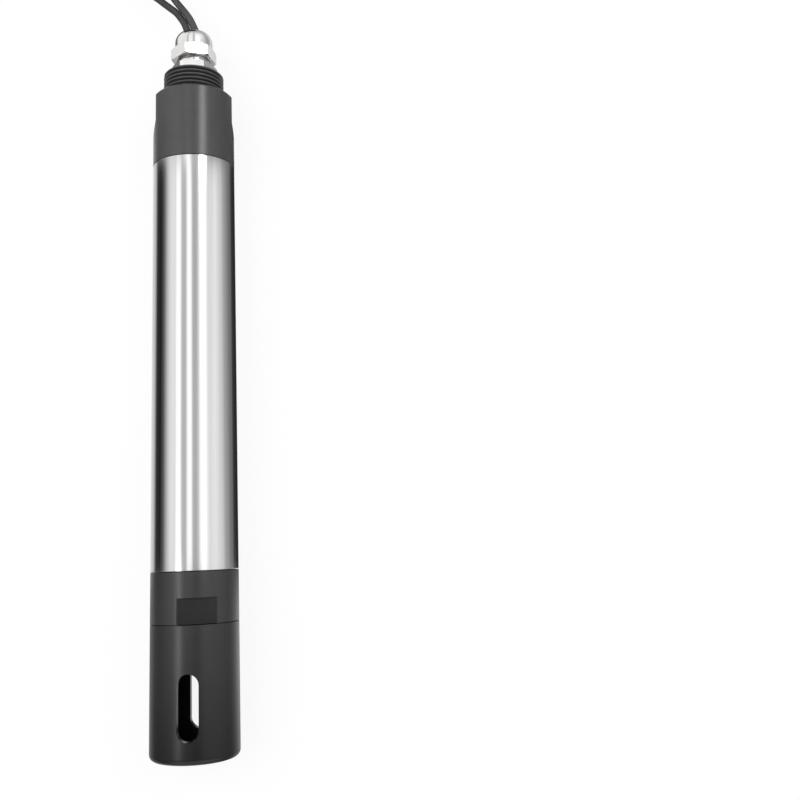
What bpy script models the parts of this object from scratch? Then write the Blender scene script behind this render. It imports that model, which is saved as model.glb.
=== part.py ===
"""Conductivity, temperature and depth probe, lying on its side with its two cords coiled beside the head.

The probe's axis runs along Y at tube height: sensing end at -Y, cable gland at +Y, up is +Z.
Stations are distances along the axis from the sensing end of the guard cap. Clock angles are seen
from the sensing end: 0 is straight up and 90 points along +X.
"""

import math

import bmesh
import bpy
from mathutils import Matrix, Vector

MM = 0.001

# Clearances
GAP = 0.3 * MM          # between pieces that seat on each other
OVERRUN = 2 * MM        # how far a cutter passes what it cuts

# Body, lengths along the axis
BODY_DIAMETER = 44 * MM
GUARD_LENGTH = 63.4 * MM
COLLAR_LENGTH = 25 * MM
TUBE_LENGTH = 215 * MM
HEAD_LENGTH = 41 * MM
NECK_LENGTH = 13.9 * MM

# Housing tube and the spigots that plug it
TUBE_WALL = 1.5 * MM
SPIGOT_LENGTH = 16 * MM
SPIGOT_BORE = 30 * MM
SPIGOT_CHAMFER = 0.8 * MM
ORING_SECTION = 2.6 * MM
ORING_SET_IN = 5 * MM

# Head
HEAD_EDGE_CHAMFER = 1.2 * MM
HEAD_ACROSS_FLATS = BODY_DIAMETER - 2.8 * MM
HEAD_FLAT_LENGTH = 16 * MM
HEAD_FLAT_RUNOUT = 7 * MM
HEAD_FLAT_CLOCK = 102
NECK_DIAMETER = BODY_DIAMETER - 10.6 * MM
NECK_EDGE_CHAMFER = 1.6 * MM
GLAND_BORE = 16 * MM
HEAD_CAVITY_DEPTH = 26 * MM

# Cable gland
GLAND_STUB_LENGTH = 10 * MM
GLAND_HEX_FLATS = 22.5 * MM
GLAND_HEX_HEIGHT = 5.4 * MM
GLAND_HEX_CLOCK = 36
GLAND_NECK_HEIGHT = 3.4 * MM
GLAND_THREAD_DIAMETER = 17.8 * MM
GLAND_THREAD_HEIGHT = 6.5 * MM
NUT_FLATS = 22 * MM
NUT_HEX_HEIGHT = 6 * MM
NUT_HEX_CLOCK = 49
NUT_BARREL_DIAMETER = 20.8 * MM
NUT_BARREL_HEIGHT = 4.8 * MM
NUT_DOME_HEIGHT = 6.2 * MM
NUT_MOUTH_DIAMETER = 10.6 * MM
NUT_WALL = 2 * MM
HEX_CHAMFER = math.radians(30)
SEAL_DIAMETER = 12 * MM
SEAL_LENGTH = 13 * MM
GLAND_ORING_SECTION = 1.5 * MM

# Collar and its threaded skirt
COLLAR_ACROSS_FLATS = BODY_DIAMETER - 4.6 * MM
COLLAR_FLAT_HEIGHT = 12.4 * MM
COLLAR_FLAT_CLOCK = 15
SKIRT_DIAMETER = BODY_DIAMETER - 3 * MM
SKIRT_LENGTH = 18 * MM
SKIRT_WALL = 2.5 * MM
SKIRT_BORE = SKIRT_DIAMETER - 2 * SKIRT_WALL
WINDOW_WIDTH = 18.3 * MM
SKIRT_LAND_LENGTH = 2.5 * MM

# Guard cap
GUARD_WALL = 4 * MM
GUARD_BORE = BODY_DIAMETER - 2 * GUARD_WALL
GUARD_END_WALL = 4.2 * MM
GUARD_END_HOLE = 16 * MM
GUARD_END_FILLET = 3 * MM
GUARD_MOUTH_CHAMFER = 0.5 * MM
SLOT_WIDTH = 10.4 * MM
SLOT_LENGTH = 30.6 * MM
SLOT_SET_BACK = 10.4 * MM
SLOT_CLOCK = 2.3

# Sensing block and what it carries; the clock angles turn with the collar's windows
BLOCK_LENGTH = 17.5 * MM
RECESS_DIAMETER = SKIRT_BORE - 11.6 * MM
RECESS_OFFSET = 4.4 * MM
RECESS_CLOCK = COLLAR_FLAT_CLOCK + 128
RECESS_DEPTH = 5 * MM
CELL_DIAMETER = RECESS_DIAMETER - 3.6 * MM
CELL_LENGTH = 8 * MM
CELL_RIM = 1.9 * MM
DIAPHRAGM_THICKNESS = 0.5 * MM
DIAPHRAGM_DEPTH = 0.6 * MM
CORRUGATIONS = 5
CORRUGATION_HEIGHT = 0.5 * MM
DIAPHRAGM_CENTRE = 5 * MM
CELL_ORING_SECTION = 1.2 * MM
ELECTRODE_DIAMETER = 6 * MM
ELECTRODE_REACH = 6.5 * MM
ELECTRODE_DEPTH = 13 * MM
ELECTRODE_RING = SKIRT_BORE / 2 - 4.8 * MM
ELECTRODE_CLOCKS = {"electrode_upper": COLLAR_FLAT_CLOCK - 32, "electrode_left": COLLAR_FLAT_CLOCK - 105}
PIN_DIAMETER = 3.8 * MM
PIN_REACH = 6 * MM
PIN_DEPTH = 11 * MM
PIN_RING = SKIRT_BORE / 2 - 3.1 * MM
PIN_CLOCK = COLLAR_FLAT_CLOCK - 150
POTTING_LENGTH = 9 * MM

# Circuit board and its carriers
CARRIER_THICKNESS = 6 * MM
CARRIER_WINDOW = 11 * MM
CARRIER_WINDOW_OFFSET = 11.5 * MM
CARRIER_INSET = 29 * MM         # from a tube end to the middle of the nearer carrier
CARRIER_SPAN = TUBE_LENGTH - 2 * CARRIER_INSET
BOARD_WIDTH = BODY_DIAMETER - 10 * MM
BOARD_THICKNESS = 1.6 * MM
BOARD_TONGUE = 4 * MM

# Cords: 4 mm signal cable and 4 mm vent tube
CORD_DIAMETER = 4 * MM
CORD_PITCH = 4.3 * MM
CORD_HOLE = 4.6 * MM
CORD_ENTRY = 32 * MM
CORE_DIAMETER = 1.2 * MM
CORE_SPREAD = 1.1 * MM
CORES = ("power", "ground", "data")
VENT_LINE_DIAMETER = 2.4 * MM
TEMPERATURE_LEAD_RING = 10.5 * MM
ELECTRODE_LEAD_RING = 9 * MM
LEAD_PITCH = 2 * MM

# Coils, wound flat on the floor and held by two straps each
COIL_COLUMNS = 4
COIL_LAYERS = 10
COIL_PITCH = 4.16 * MM
COIL_OUTER_TURN = 26 * MM
STRAP_THICKNESS = 0.9 * MM
STRAP_WIDTH = 6 * MM
STRAP_LIFT = 0.1 * MM
STRAP_CLOCKS = {"right": 65, "left": 265}
TAIL_RADIUS = 19.8 * MM
TAIL_START = 215
TAIL_TURN = 40
SLEEVE_WALL = 0.45 * MM
SLEEVE_LENGTH = 16 * MM
FERRULE_LENGTH = 7 * MM
FILTER_DIAMETER = 10 * MM
FILTER_LENGTH = 22 * MM

# Facets round a full turn
BODY_STEPS = 40
SMALL_STEPS = 24
TINY_STEPS = 16

BODY_RADIUS = BODY_DIAMETER / 2
TUBE_BORE_RADIUS = BODY_RADIUS - TUBE_WALL
SPIGOT_RADIUS = TUBE_BORE_RADIUS - GAP
CORD_RADIUS = CORD_DIAMETER / 2

# Stations of the seams, from the guard cap's end
COLLAR_START = GUARD_LENGTH
TUBE_START = COLLAR_START + COLLAR_LENGTH
HEAD_START = TUBE_START + TUBE_LENGTH
NECK_START = HEAD_START + HEAD_LENGTH
NECK_END = NECK_START + NECK_LENGTH
GLAND_HEX_TOP = NECK_END + GAP + GLAND_HEX_HEIGHT
NUT_START = GLAND_HEX_TOP + GLAND_NECK_HEIGHT
NUT_BARREL_START = NUT_START + NUT_HEX_HEIGHT
NUT_DOME_START = NUT_BARREL_START + NUT_BARREL_HEIGHT
PROBE_LENGTH = NUT_DOME_START + NUT_DOME_HEIGHT
SEAL_END = PROBE_LENGTH - NUT_WALL - 4.5 * MM
BLOCK_SEAT = COLLAR_START + BLOCK_LENGTH + GAP
CELL_FACE = COLLAR_START + RECESS_DEPTH
AXIS_HEIGHT = BODY_RADIUS

# Routes of the two free cords outside the gland: x, station and height above the floor, in millimetres
SIGNAL_ROUTE = [
    (-2.15, 378.2, 22), (-2.2, 382.2, 22), (-2.96, 385, 21.85), (-5.33, 391.14, 21), (-6.64, 394.1, 20),
    (-8.62, 397.47, 19), (-11.32, 401.57, 17.7), (-14.9, 405.4, 16.5), (-18.4, 408.9, 15.2),
    (-21.9, 412.7, 13.6), (-26.9, 417.7, 11.3), (-32.2, 422.9, 8.9), (-38, 428, 6.6), (-43.5, 433, 4.6),
    (-47.6, 439.5, 3.2), (-49.4, 447.5, 2.4), (-49.6, 458, 2.1), (-49.6, 471.2, 2.1), (-49.6, 483, 2.1),
    (-49.6, 494, 2.4), (-49.6, 506.2, 3.4),
]
VENT_ROUTE = [
    (2.15, 378.2, 22), (2.15, 382.2, 22), (1.1, 386.4, 22), (-1.4, 392.7, 21.8), (-3.1, 396.1, 21.4),
    (-5.3, 399.6, 20.7), (-8, 403.7, 19.4), (-11.2, 408.7, 17.4), (-14.7, 414.9, 14.8), (-18.4, 421.3, 12.2),
    (-22, 425.8, 9.6), (-26.3, 429.3, 6.9), (-29.9, 432, 4.9), (-32.93, 434.98, 3.6),
]
SIGNAL_COIL_CENTRE = (-23.6, 521.2)
VENT_COIL_CENTRE = (-18, 461.2)


def main():
    clear_scene()
    groups = {"parts": new_collection("ctd_probe"), "cutters": new_collection("cutters")}
    probe = new_axis("probe_axis", groups["parts"])
    guard = new_axis("guard_axis", groups["parts"])
    bench = Bench(groups, probe, guard)
    make_housing(bench)
    make_head(bench)
    make_gland(bench)
    make_collar(bench)
    make_sensing_end(bench)
    make_guard_cap(bench)
    make_electronics(bench)
    make_inner_wiring(bench)
    make_cords(bench)
    bpy.context.view_layer.update()


class Bench:
    """Where pieces go: the collections, the two axis empties and the materials made so far."""

    def __init__(self, groups, probe, guard):
        self.parts = groups["parts"]
        self.cutters = groups["cutters"]
        self.probe = probe
        self.guard = guard
        self.materials = {}

    def material(self, name):
        if name not in self.materials:
            colour, roughness, metallic = FINISHES[name]
            made = bpy.data.materials.new(name)
            made.use_nodes = True
            shader = made.node_tree.nodes["Principled BSDF"]
            shader.inputs["Base Color"].default_value = (*colour, 1)
            shader.inputs["Roughness"].default_value = roughness
            shader.inputs["Metallic"].default_value = metallic
            made.diffuse_color = (*colour, 1)
            self.materials[name] = made
        return self.materials[name]


FINISHES = {
    "satin_steel": ((0.60, 0.60, 0.60), 0.32, 1.0),
    "bright_nickel": ((0.74, 0.73, 0.71), 0.12, 1.0),
    "black_acetal": ((0.045, 0.045, 0.047), 0.42, 0.0),
    "grey_resin": ((0.075, 0.076, 0.08), 0.5, 0.0),
    "graphite": ((0.09, 0.09, 0.095), 0.55, 0.1),
    "black_rubber": ((0.02, 0.02, 0.02), 0.6, 0.0),
    "cord_jacket": ((0.06, 0.06, 0.062), 0.45, 0.0),
    "board_laminate": ((0.02, 0.10, 0.05), 0.45, 0.0),
    "chip_black": ((0.03, 0.03, 0.032), 0.5, 0.0),
    "white_nylon": ((0.72, 0.72, 0.70), 0.5, 0.0),
    "tinned_copper": ((0.70, 0.69, 0.66), 0.25, 1.0),
    "wire_insulation": ((0.45, 0.10, 0.08), 0.45, 0.0),
    "strap_nylon": ((0.05, 0.05, 0.05), 0.7, 0.0),
}


# Scene helpers


def clear_scene():
    for old in list(bpy.data.objects):
        bpy.data.objects.remove(old, do_unlink=True)


def new_collection(name):
    made = bpy.data.collections.new(name)
    bpy.context.scene.collection.children.link(made)
    return made


def new_axis(name, group):
    """An empty whose local Z runs along the probe's axis, with its origin at station zero."""
    made = bpy.data.objects.new(name, None)
    made.location = (0, -PROBE_LENGTH / 2, AXIS_HEIGHT)
    made.rotation_euler = (math.radians(-90), 0, 0)
    made.empty_display_size = 0.03
    group.objects.link(made)
    return made


def place(bench, made, material, parent):
    bench.parts.objects.link(made)
    made.parent = parent
    made.data.materials.clear()
    made.data.materials.append(bench.material(material))
    return made


def local_angle(clock):
    """A clock angle as a rotation about the axis empty's Z."""
    return math.radians(clock - 90)


def on_clock(clock, radius, station):
    """A point in the axis empty's space at a clock angle, a distance from the axis and a station."""
    angle = local_angle(clock)
    return Vector((radius * math.cos(angle), radius * math.sin(angle), station))


# Shape helpers


def smooth(mesh):
    mesh.shade_smooth()
    mesh.set_sharp_from_angle(angle=math.radians(32))


def turned(bench, name, outline, material, parent, steps=BODY_STEPS, centre=None):
    """A turned piece: the outline is (radius, station) and runs down the outer side, then back up the bore."""
    closed = outline[0][0] > 0
    mesh = bpy.data.meshes.new(name)
    points = [(radius, 0, station) for radius, station in outline]
    edges = [(i, i + 1) for i in range(len(points) - 1)]
    if closed:
        edges.append((len(points) - 1, 0))
    mesh.from_pydata(points, edges, [])
    made = bpy.data.objects.new(name, mesh)
    place(bench, made, material, parent)
    if centre is not None:
        made.location = centre
    made.rotation_euler = (0, 0, math.pi / steps)
    screw = made.modifiers.new("turn", "SCREW")
    screw.steps = steps
    screw.render_steps = steps
    screw.use_merge_vertices = True
    screw.merge_threshold = 0.01 * MM
    screw.use_smooth_shade = True
    return made


def rod(name, radius, start, end, steps=SMALL_STEPS):
    """A plain cylinder mesh along local Z between two stations."""
    made = bmesh.new()
    middle = Matrix.Translation((0, 0, (start + end) / 2))
    bmesh.ops.create_cone(
        made, cap_ends=True, segments=steps, radius1=radius, radius2=radius, depth=end - start, matrix=middle
    )
    return to_object(name, made)


def block(name, size, centre):
    """A plain box mesh with its centre at a point of the axis empty's space."""
    made = bmesh.new()
    bmesh.ops.create_cube(made, size=1, matrix=Matrix.Translation(centre) @ Matrix.Diagonal((*size, 1)))
    return to_object(name, made)


def to_object(name, shape):
    mesh = bpy.data.meshes.new(name)
    shape.to_mesh(mesh)
    shape.free()
    return bpy.data.objects.new(name, mesh)


def outline_prism(name, points, thickness):
    """A flat closed outline in local XY, given a thickness along local Z, as a mesh."""
    curve = bpy.data.curves.new(name, "CURVE")
    curve.dimensions = "2D"
    curve.fill_mode = "BOTH"
    curve.extrude = thickness / 2
    spline = curve.splines.new("POLY")
    spline.points.add(len(points) - 1)
    for spline_point, (x, y) in zip(spline.points, points):
        spline_point.co = (x, y, 0, 1)
    spline.use_cyclic_u = True
    return solid_from_curve(name, curve)


def solid_from_curve(name, curve):
    """A closed mesh object of a curve, with its caps welded on."""
    draft = bpy.data.objects.new(name + "_draft", curve)
    bpy.context.scene.collection.objects.link(draft)
    bpy.context.view_layer.update()
    evaluated = draft.evaluated_get(bpy.context.evaluated_depsgraph_get())
    mesh = bpy.data.meshes.new_from_object(evaluated)
    mesh.name = name
    bpy.data.objects.remove(draft, do_unlink=True)
    welded = bmesh.new()
    welded.from_mesh(mesh)
    bmesh.ops.remove_doubles(welded, verts=welded.verts, dist=0.01 * MM)
    bmesh.ops.recalc_face_normals(welded, faces=welded.faces)
    welded.to_mesh(mesh)
    welded.free()
    return bpy.data.objects.new(name, mesh)


def cut(bench, target, cutter, operation="DIFFERENCE"):
    """Applies a cutter to a piece as a live Boolean; the cutter stays hidden in its own collection."""
    bench.cutters.objects.link(cutter)
    cutter.parent = target.parent
    cutter.hide_render = True
    cutter.display_type = "WIRE"
    step = target.modifiers.new(operation.lower(), "BOOLEAN")
    step.operation = operation
    step.solver = "EXACT"
    step.object = cutter
    return cutter


def hexagon(name, across_flats, start, end, clock):
    """A hexagonal prism along the axis, with a corner at the clock angle."""
    made = rod(name, across_flats / math.sqrt(3), start, end, steps=6)
    made.rotation_euler = (0, 0, local_angle(clock))
    return made


def flats_cutter(name, across_flats, side, outline_from, outline_to, runout=0):
    """One side of a pair of wrench flats: a prism outside the flat, with a ramp where the cutter ran out."""
    near = across_flats / 2
    far = BODY_RADIUS + OVERRUN
    points = [(near, outline_to), (near, outline_from)]
    if runout:
        rise = BODY_RADIUS - near
        points.append((BODY_RADIUS, outline_from - runout))
        points.append((far, outline_from - runout * (1 + (far - BODY_RADIUS) / rise)))
    else:
        points.append((far, outline_from))
    points.append((far, outline_to))
    made = outline_prism(name, [(side * x, y) for x, y in points], BODY_DIAMETER)
    made.data.transform(Matrix.Rotation(math.radians(90), 4, "X"))
    return made


def fillet(centre, radius, start, end, count):
    """Points on an arc about a (radius, station) centre, between two angles in degrees."""
    angles = [math.radians(start + (end - start) * i / count) for i in range(count + 1)]
    return [(centre[0] + radius * math.cos(a), centre[1] + radius * math.sin(a)) for a in angles]


def oring(bench, name, ring_radius, station, section, parent, steps=SMALL_STEPS, centre=None):
    outline = fillet((ring_radius, station), section / 2, 90, -270, 6)[:-1]
    return turned(bench, name, outline, "black_rubber", parent, steps, centre)


def smooth_path(points, per_span):
    """A Catmull-Rom curve through the points, with a fixed number of steps in each span."""
    knots = [Vector(p) for p in points]
    ends = [knots[0] * 2 - knots[1], *knots, knots[-1] * 2 - knots[-2]]
    path = []
    for before, start, end, after in zip(ends, ends[1:], ends[2:], ends[3:]):
        for step in range(per_span):
            t = step / per_span
            path.append(
                0.5
                * (
                    2 * start
                    + (end - before) * t
                    + (2 * before - 5 * start + 4 * end - after) * t**2
                    + (3 * start - before - 3 * end + after) * t**3
                )
            )
    return [*path, knots[-1]]


def tube(bench, name, path, radius, material, parent, resolution=2):
    """A round wire or tube along a path, with filled caps."""
    curve = bpy.data.curves.new(name, "CURVE")
    curve.dimensions = "3D"
    curve.bevel_depth = radius
    curve.bevel_resolution = resolution
    curve.use_fill_caps = True
    spline = curve.splines.new("POLY")
    spline.points.add(len(path) - 1)
    for spline_point, point in zip(spline.points, path):
        spline_point.co = (*point, 1)
    made = bpy.data.objects.new(name, curve)
    return place(bench, made, material, parent)


def chip(bench, name, size, across, station, material, side=1, base=None):
    """A box-shaped component with broken edges, standing on the circuit board."""
    width, length, height = size
    foot = BOARD_THICKNESS / 2 + GAP if base is None else base
    centre = Vector((across, -side * (foot + height / 2), station))
    made = block(name, (width, height, length), centre)
    place(bench, made, material, bench.probe)
    bevel = made.modifiers.new("edges", "BEVEL")
    bevel.width = min(0.4 * MM, height / 5)
    bevel.segments = 1
    return made


# Housing


def make_housing(bench):
    outline = [
        (BODY_RADIUS, HEAD_START - GAP / 2),
        (BODY_RADIUS, TUBE_START + GAP / 2),
        (TUBE_BORE_RADIUS, TUBE_START + GAP / 2),
        (TUBE_BORE_RADIUS, HEAD_START - GAP / 2),
    ]
    turned(bench, "housing_tube", outline, "satin_steel", bench.probe)


def spigot_outline(shoulder, direction):
    """The plug that enters the tube: from its shoulder to its tip, with an O-ring groove on the way."""
    groove = shoulder + direction * ORING_SET_IN
    half = ORING_SECTION / 2 + GAP
    floor = TUBE_BORE_RADIUS - ORING_SECTION - 2 * GAP
    tip = shoulder + direction * SPIGOT_LENGTH
    return [
        (SPIGOT_RADIUS, shoulder),
        (SPIGOT_RADIUS, groove - direction * half),
        (floor, groove - direction * half),
        (floor, groove + direction * half),
        (SPIGOT_RADIUS, groove + direction * half),
        (SPIGOT_RADIUS, tip - direction * SPIGOT_CHAMFER),
        (SPIGOT_RADIUS - SPIGOT_CHAMFER, tip),
    ]


def spigot_oring(bench, name, shoulder, direction):
    middle = TUBE_BORE_RADIUS - GAP - ORING_SECTION / 2
    oring(bench, name, middle, shoulder + direction * ORING_SET_IN, ORING_SECTION, bench.probe)


def make_head(bench):
    neck_radius = NECK_DIAMETER / 2
    bore_radius = GLAND_BORE / 2
    cavity_radius = SPIGOT_BORE / 2
    cavity_end = HEAD_START - SPIGOT_LENGTH + HEAD_CAVITY_DEPTH
    outline = [
        (bore_radius, NECK_END),
        (neck_radius - NECK_EDGE_CHAMFER, NECK_END),
        (neck_radius, NECK_END - NECK_EDGE_CHAMFER),
        (neck_radius, NECK_START),
        (BODY_RADIUS - HEAD_EDGE_CHAMFER, NECK_START),
        (BODY_RADIUS, NECK_START - HEAD_EDGE_CHAMFER),
        (BODY_RADIUS, HEAD_START + GAP / 2),
        *spigot_outline(HEAD_START + GAP / 2, -1),
        (cavity_radius, HEAD_START + GAP / 2 - SPIGOT_LENGTH),
        (cavity_radius, cavity_end),
        (bore_radius, cavity_end + (cavity_radius - bore_radius) / 2),
    ]
    head = turned(bench, "head_cap", outline, "black_acetal", bench.probe)
    flat_start = NECK_START - HEAD_FLAT_LENGTH
    for side, name in ((1, "head_flat_right"), (-1, "head_flat_left")):
        cutter = flats_cutter(
            name, HEAD_ACROSS_FLATS, side, flat_start, NECK_START + OVERRUN, HEAD_FLAT_RUNOUT
        )
        cut(bench, head, cutter).rotation_euler = (0, 0, local_angle(HEAD_FLAT_CLOCK))
    spigot_oring(bench, "head_oring", HEAD_START + GAP / 2, -1)


# Cable gland


def hex_corner(across_flats):
    return across_flats / math.sqrt(3)


def corner_chamfer(across_flats, inner_radius):
    """How far a 30 degree chamfer runs along the axis between an inner radius and the corners."""
    return (hex_corner(across_flats) - inner_radius) * math.tan(HEX_CHAMFER)


def make_gland(bench):
    stub = GLAND_BORE / 2 - GAP
    thread = GLAND_THREAD_DIAMETER / 2
    seal = SEAL_DIAMETER / 2
    corner = hex_corner(GLAND_HEX_FLATS)
    flat = GLAND_HEX_FLATS / 2
    chamfer = corner_chamfer(GLAND_HEX_FLATS, flat - 0.5 * MM)
    hex_start = NECK_END + GAP
    groove = GLAND_ORING_SECTION / 2 + GAP
    groove_middle = GLAND_BORE / 2 + 1.6 * MM
    thread_top = NUT_START + GLAND_THREAD_HEIGHT
    seal_start = SEAL_END - SEAL_LENGTH
    outline = [
        (seal + GAP, thread_top),
        (thread, thread_top),
        (thread, GLAND_HEX_TOP),
        (flat - 0.5 * MM, GLAND_HEX_TOP),
        (corner, GLAND_HEX_TOP - chamfer),
        (corner, hex_start),
        (groove_middle + groove, hex_start),
        (groove_middle + groove, hex_start + 2 * groove - GAP),
        (groove_middle - groove, hex_start + 2 * groove - GAP),
        (groove_middle - groove, hex_start),
        (stub, hex_start),
        (stub, hex_start - GLAND_STUB_LENGTH),
        (stub - 2.6 * MM, hex_start - GLAND_STUB_LENGTH),
        (stub - 2.6 * MM, seal_start - GAP),
        (seal + GAP, seal_start - GAP),
    ]
    body = turned(bench, "gland_body", outline, "bright_nickel", bench.probe, SMALL_STEPS)
    keep = hexagon("gland_hex", GLAND_HEX_FLATS, hex_start - GLAND_STUB_LENGTH - OVERRUN, PROBE_LENGTH, GLAND_HEX_CLOCK)
    cut(bench, body, keep, "INTERSECT")
    oring(
        bench, "gland_oring", groove_middle, NECK_END + GAP + GLAND_ORING_SECTION / 2,
        GLAND_ORING_SECTION, bench.probe
    )
    make_gland_seal(bench, seal, seal_start)
    make_gland_nut(bench)


def make_gland_seal(bench, radius, start):
    """The rubber bush: a taper at its outer end, and a hole for each cord."""
    taper = 3 * MM
    outline = [
        (0, SEAL_END),
        (radius - 1.2 * MM, SEAL_END),
        (radius, SEAL_END - taper),
        (radius, start),
        (0, start),
    ]
    seal = turned(bench, "gland_seal", outline, "black_rubber", bench.probe, SMALL_STEPS)
    for side in (-1, 1):
        hole = rod("seal_hole", CORD_HOLE / 2, start - OVERRUN, SEAL_END + OVERRUN, TINY_STEPS)
        cut(bench, seal, hole).location = (side * CORD_PITCH / 2, 0, 0)


def make_gland_nut(bench):
    corner = hex_corner(NUT_FLATS)
    barrel = NUT_BARREL_DIAMETER / 2
    mouth = NUT_MOUTH_DIAMETER / 2
    thread = GLAND_THREAD_DIAMETER / 2 + GAP
    lower = corner_chamfer(NUT_FLATS, NUT_FLATS / 2 - 0.3 * MM)
    upper = corner_chamfer(NUT_FLATS, barrel)
    dome = [
        (mouth + (barrel - mouth) * math.cos(a), NUT_DOME_START + NUT_DOME_HEIGHT * math.sin(a))
        for a in (math.radians(90 - 90 * i / 5) for i in range(6))
    ]
    thread_end = NUT_START + GLAND_THREAD_HEIGHT + GAP
    throat = SEAL_END + GAP
    outline = [
        (mouth, PROBE_LENGTH),
        *dome[1:],
        (barrel, NUT_BARREL_START + upper),
        (corner, NUT_BARREL_START),
        (corner, NUT_START + lower),
        (NUT_FLATS / 2 - 0.3 * MM, NUT_START),
        (thread, NUT_START),
        (thread, thread_end),
        (SEAL_DIAMETER / 2 + GAP, thread_end),
        (SEAL_DIAMETER / 2 + GAP, throat - 3 * MM),
        (mouth, throat + 0.6 * MM),
    ]
    nut = turned(bench, "gland_nut", outline, "bright_nickel", bench.probe, SMALL_STEPS)
    keep = hexagon("nut_hex", NUT_FLATS, NUT_START - OVERRUN, PROBE_LENGTH + OVERRUN, NUT_HEX_CLOCK)
    cut(bench, nut, keep, "INTERSECT")


# Collar with its threaded skirt


def make_collar(bench):
    face = COLLAR_START + GAP / 2
    shoulder = TUBE_START - GAP / 2
    spigot = spigot_outline(shoulder, 1)
    skirt = SKIRT_DIAMETER / 2
    bore = SKIRT_BORE / 2
    inner = SPIGOT_BORE / 2
    tip = face - SKIRT_LENGTH
    outline = [
        (inner, shoulder + SPIGOT_LENGTH),
        *reversed(spigot),
        (BODY_RADIUS, shoulder),
        (BODY_RADIUS, face),
        (skirt + GAP / 2, face),
        (skirt + GAP / 2, face - SKIRT_LAND_LENGTH),
        (skirt, face - SKIRT_LAND_LENGTH),
        (skirt, tip + SPIGOT_CHAMFER),
        (skirt - SPIGOT_CHAMFER, tip),
        (bore, tip),
        (bore, BLOCK_SEAT),
        (inner, BLOCK_SEAT),
    ]
    collar = turned(bench, "sensor_collar", outline, "black_acetal", bench.probe)
    turn = local_angle(COLLAR_FLAT_CLOCK)
    for side, name in ((1, "collar_flat_near"), (-1, "collar_flat_far")):
        cutter = flats_cutter(name, COLLAR_ACROSS_FLATS, side, face - OVERRUN, face + COLLAR_FLAT_HEIGHT)
        cut(bench, collar, cutter).rotation_euler = (0, 0, turn)
    window = block(
        "skirt_window",
        (BODY_DIAMETER + OVERRUN, WINDOW_WIDTH, SKIRT_LENGTH + OVERRUN),
        (0, 0, face - (SKIRT_LENGTH + OVERRUN) / 2),
    )
    cut(bench, collar, window).rotation_euler = (0, 0, turn)
    spigot_oring(bench, "collar_oring", shoulder, 1)


# Sensing end


def make_sensing_end(bench):
    radius = SKIRT_BORE / 2 - GAP
    face = COLLAR_START
    outline = [
        (0, BLOCK_SEAT - GAP),
        (radius, BLOCK_SEAT - GAP),
        (radius, face),
        (0, face),
    ]
    sensing_block = turned(bench, "sensing_block", outline, "grey_resin", bench.probe)
    recess_place = on_clock(RECESS_CLOCK, RECESS_OFFSET, 0)
    cell_end = CELL_FACE + CELL_LENGTH
    recess = rod("sensor_recess", RECESS_DIAMETER / 2, face - OVERRUN, cell_end + GAP, BODY_STEPS)
    cut(bench, sensing_block, recess).location = recess_place
    make_pressure_cell(bench, recess_place)
    for name, clock in ELECTRODE_CLOCKS.items():
        place_probe_rod(
            bench, sensing_block, name, ELECTRODE_DIAMETER, ELECTRODE_REACH, ELECTRODE_DEPTH,
            on_clock(clock, ELECTRODE_RING, 0), 0.4 * MM, "graphite"
        )
    place_probe_rod(
        bench, sensing_block, "temperature_pin", PIN_DIAMETER, PIN_REACH, PIN_DEPTH,
        on_clock(PIN_CLOCK, PIN_RING, 0), 0.7 * MM, "satin_steel"
    )
    plug_radius = SPIGOT_BORE / 2 - GAP
    plug = [
        (0, BLOCK_SEAT + POTTING_LENGTH),
        (plug_radius, BLOCK_SEAT + POTTING_LENGTH),
        (plug_radius, BLOCK_SEAT),
        (0, BLOCK_SEAT),
    ]
    turned(bench, "potting_plug", plug, "grey_resin", bench.probe, SMALL_STEPS)


def place_probe_rod(bench, carrier, name, diameter, reach, depth, centre, tip, material):
    """A sensing rod with a turned tip, set in a blind hole of the block."""
    radius = diameter / 2
    start = COLLAR_START - reach
    end = COLLAR_START + depth
    outline = [(0, end), (radius, end), (radius, start + tip), (radius - tip, start), (0, start)]
    turned(bench, name, outline, material, bench.probe, TINY_STEPS, centre)
    hole = rod(name + "_hole", radius + GAP, COLLAR_START - OVERRUN, end + GAP, TINY_STEPS)
    cut(bench, carrier, hole).location = centre


def make_pressure_cell(bench, centre):
    """The cell's steel cup, its corrugated diaphragm and the ring that seals it in the recess."""
    radius = CELL_DIAMETER / 2
    pocket = radius - CELL_RIM
    floor = CELL_FACE + DIAPHRAGM_DEPTH + DIAPHRAGM_THICKNESS + CORRUGATION_HEIGHT + GAP
    end = CELL_FACE + CELL_LENGTH
    cup = [(0, end), (radius, end), (radius, CELL_FACE), (pocket, CELL_FACE), (pocket, floor), (0, floor)]
    turned(bench, "pressure_cell", cup, "satin_steel", bench.probe, SMALL_STEPS, centre)
    turned(
        bench, "pressure_diaphragm", diaphragm_outline(pocket - GAP), "satin_steel", bench.probe,
        SMALL_STEPS, centre
    )
    middle = (CELL_DIAMETER + RECESS_DIAMETER) / 4
    oring(
        bench, "cell_oring", middle, CELL_FACE + CELL_ORING_SECTION, CELL_ORING_SECTION, bench.probe,
        SMALL_STEPS, centre
    )


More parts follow.
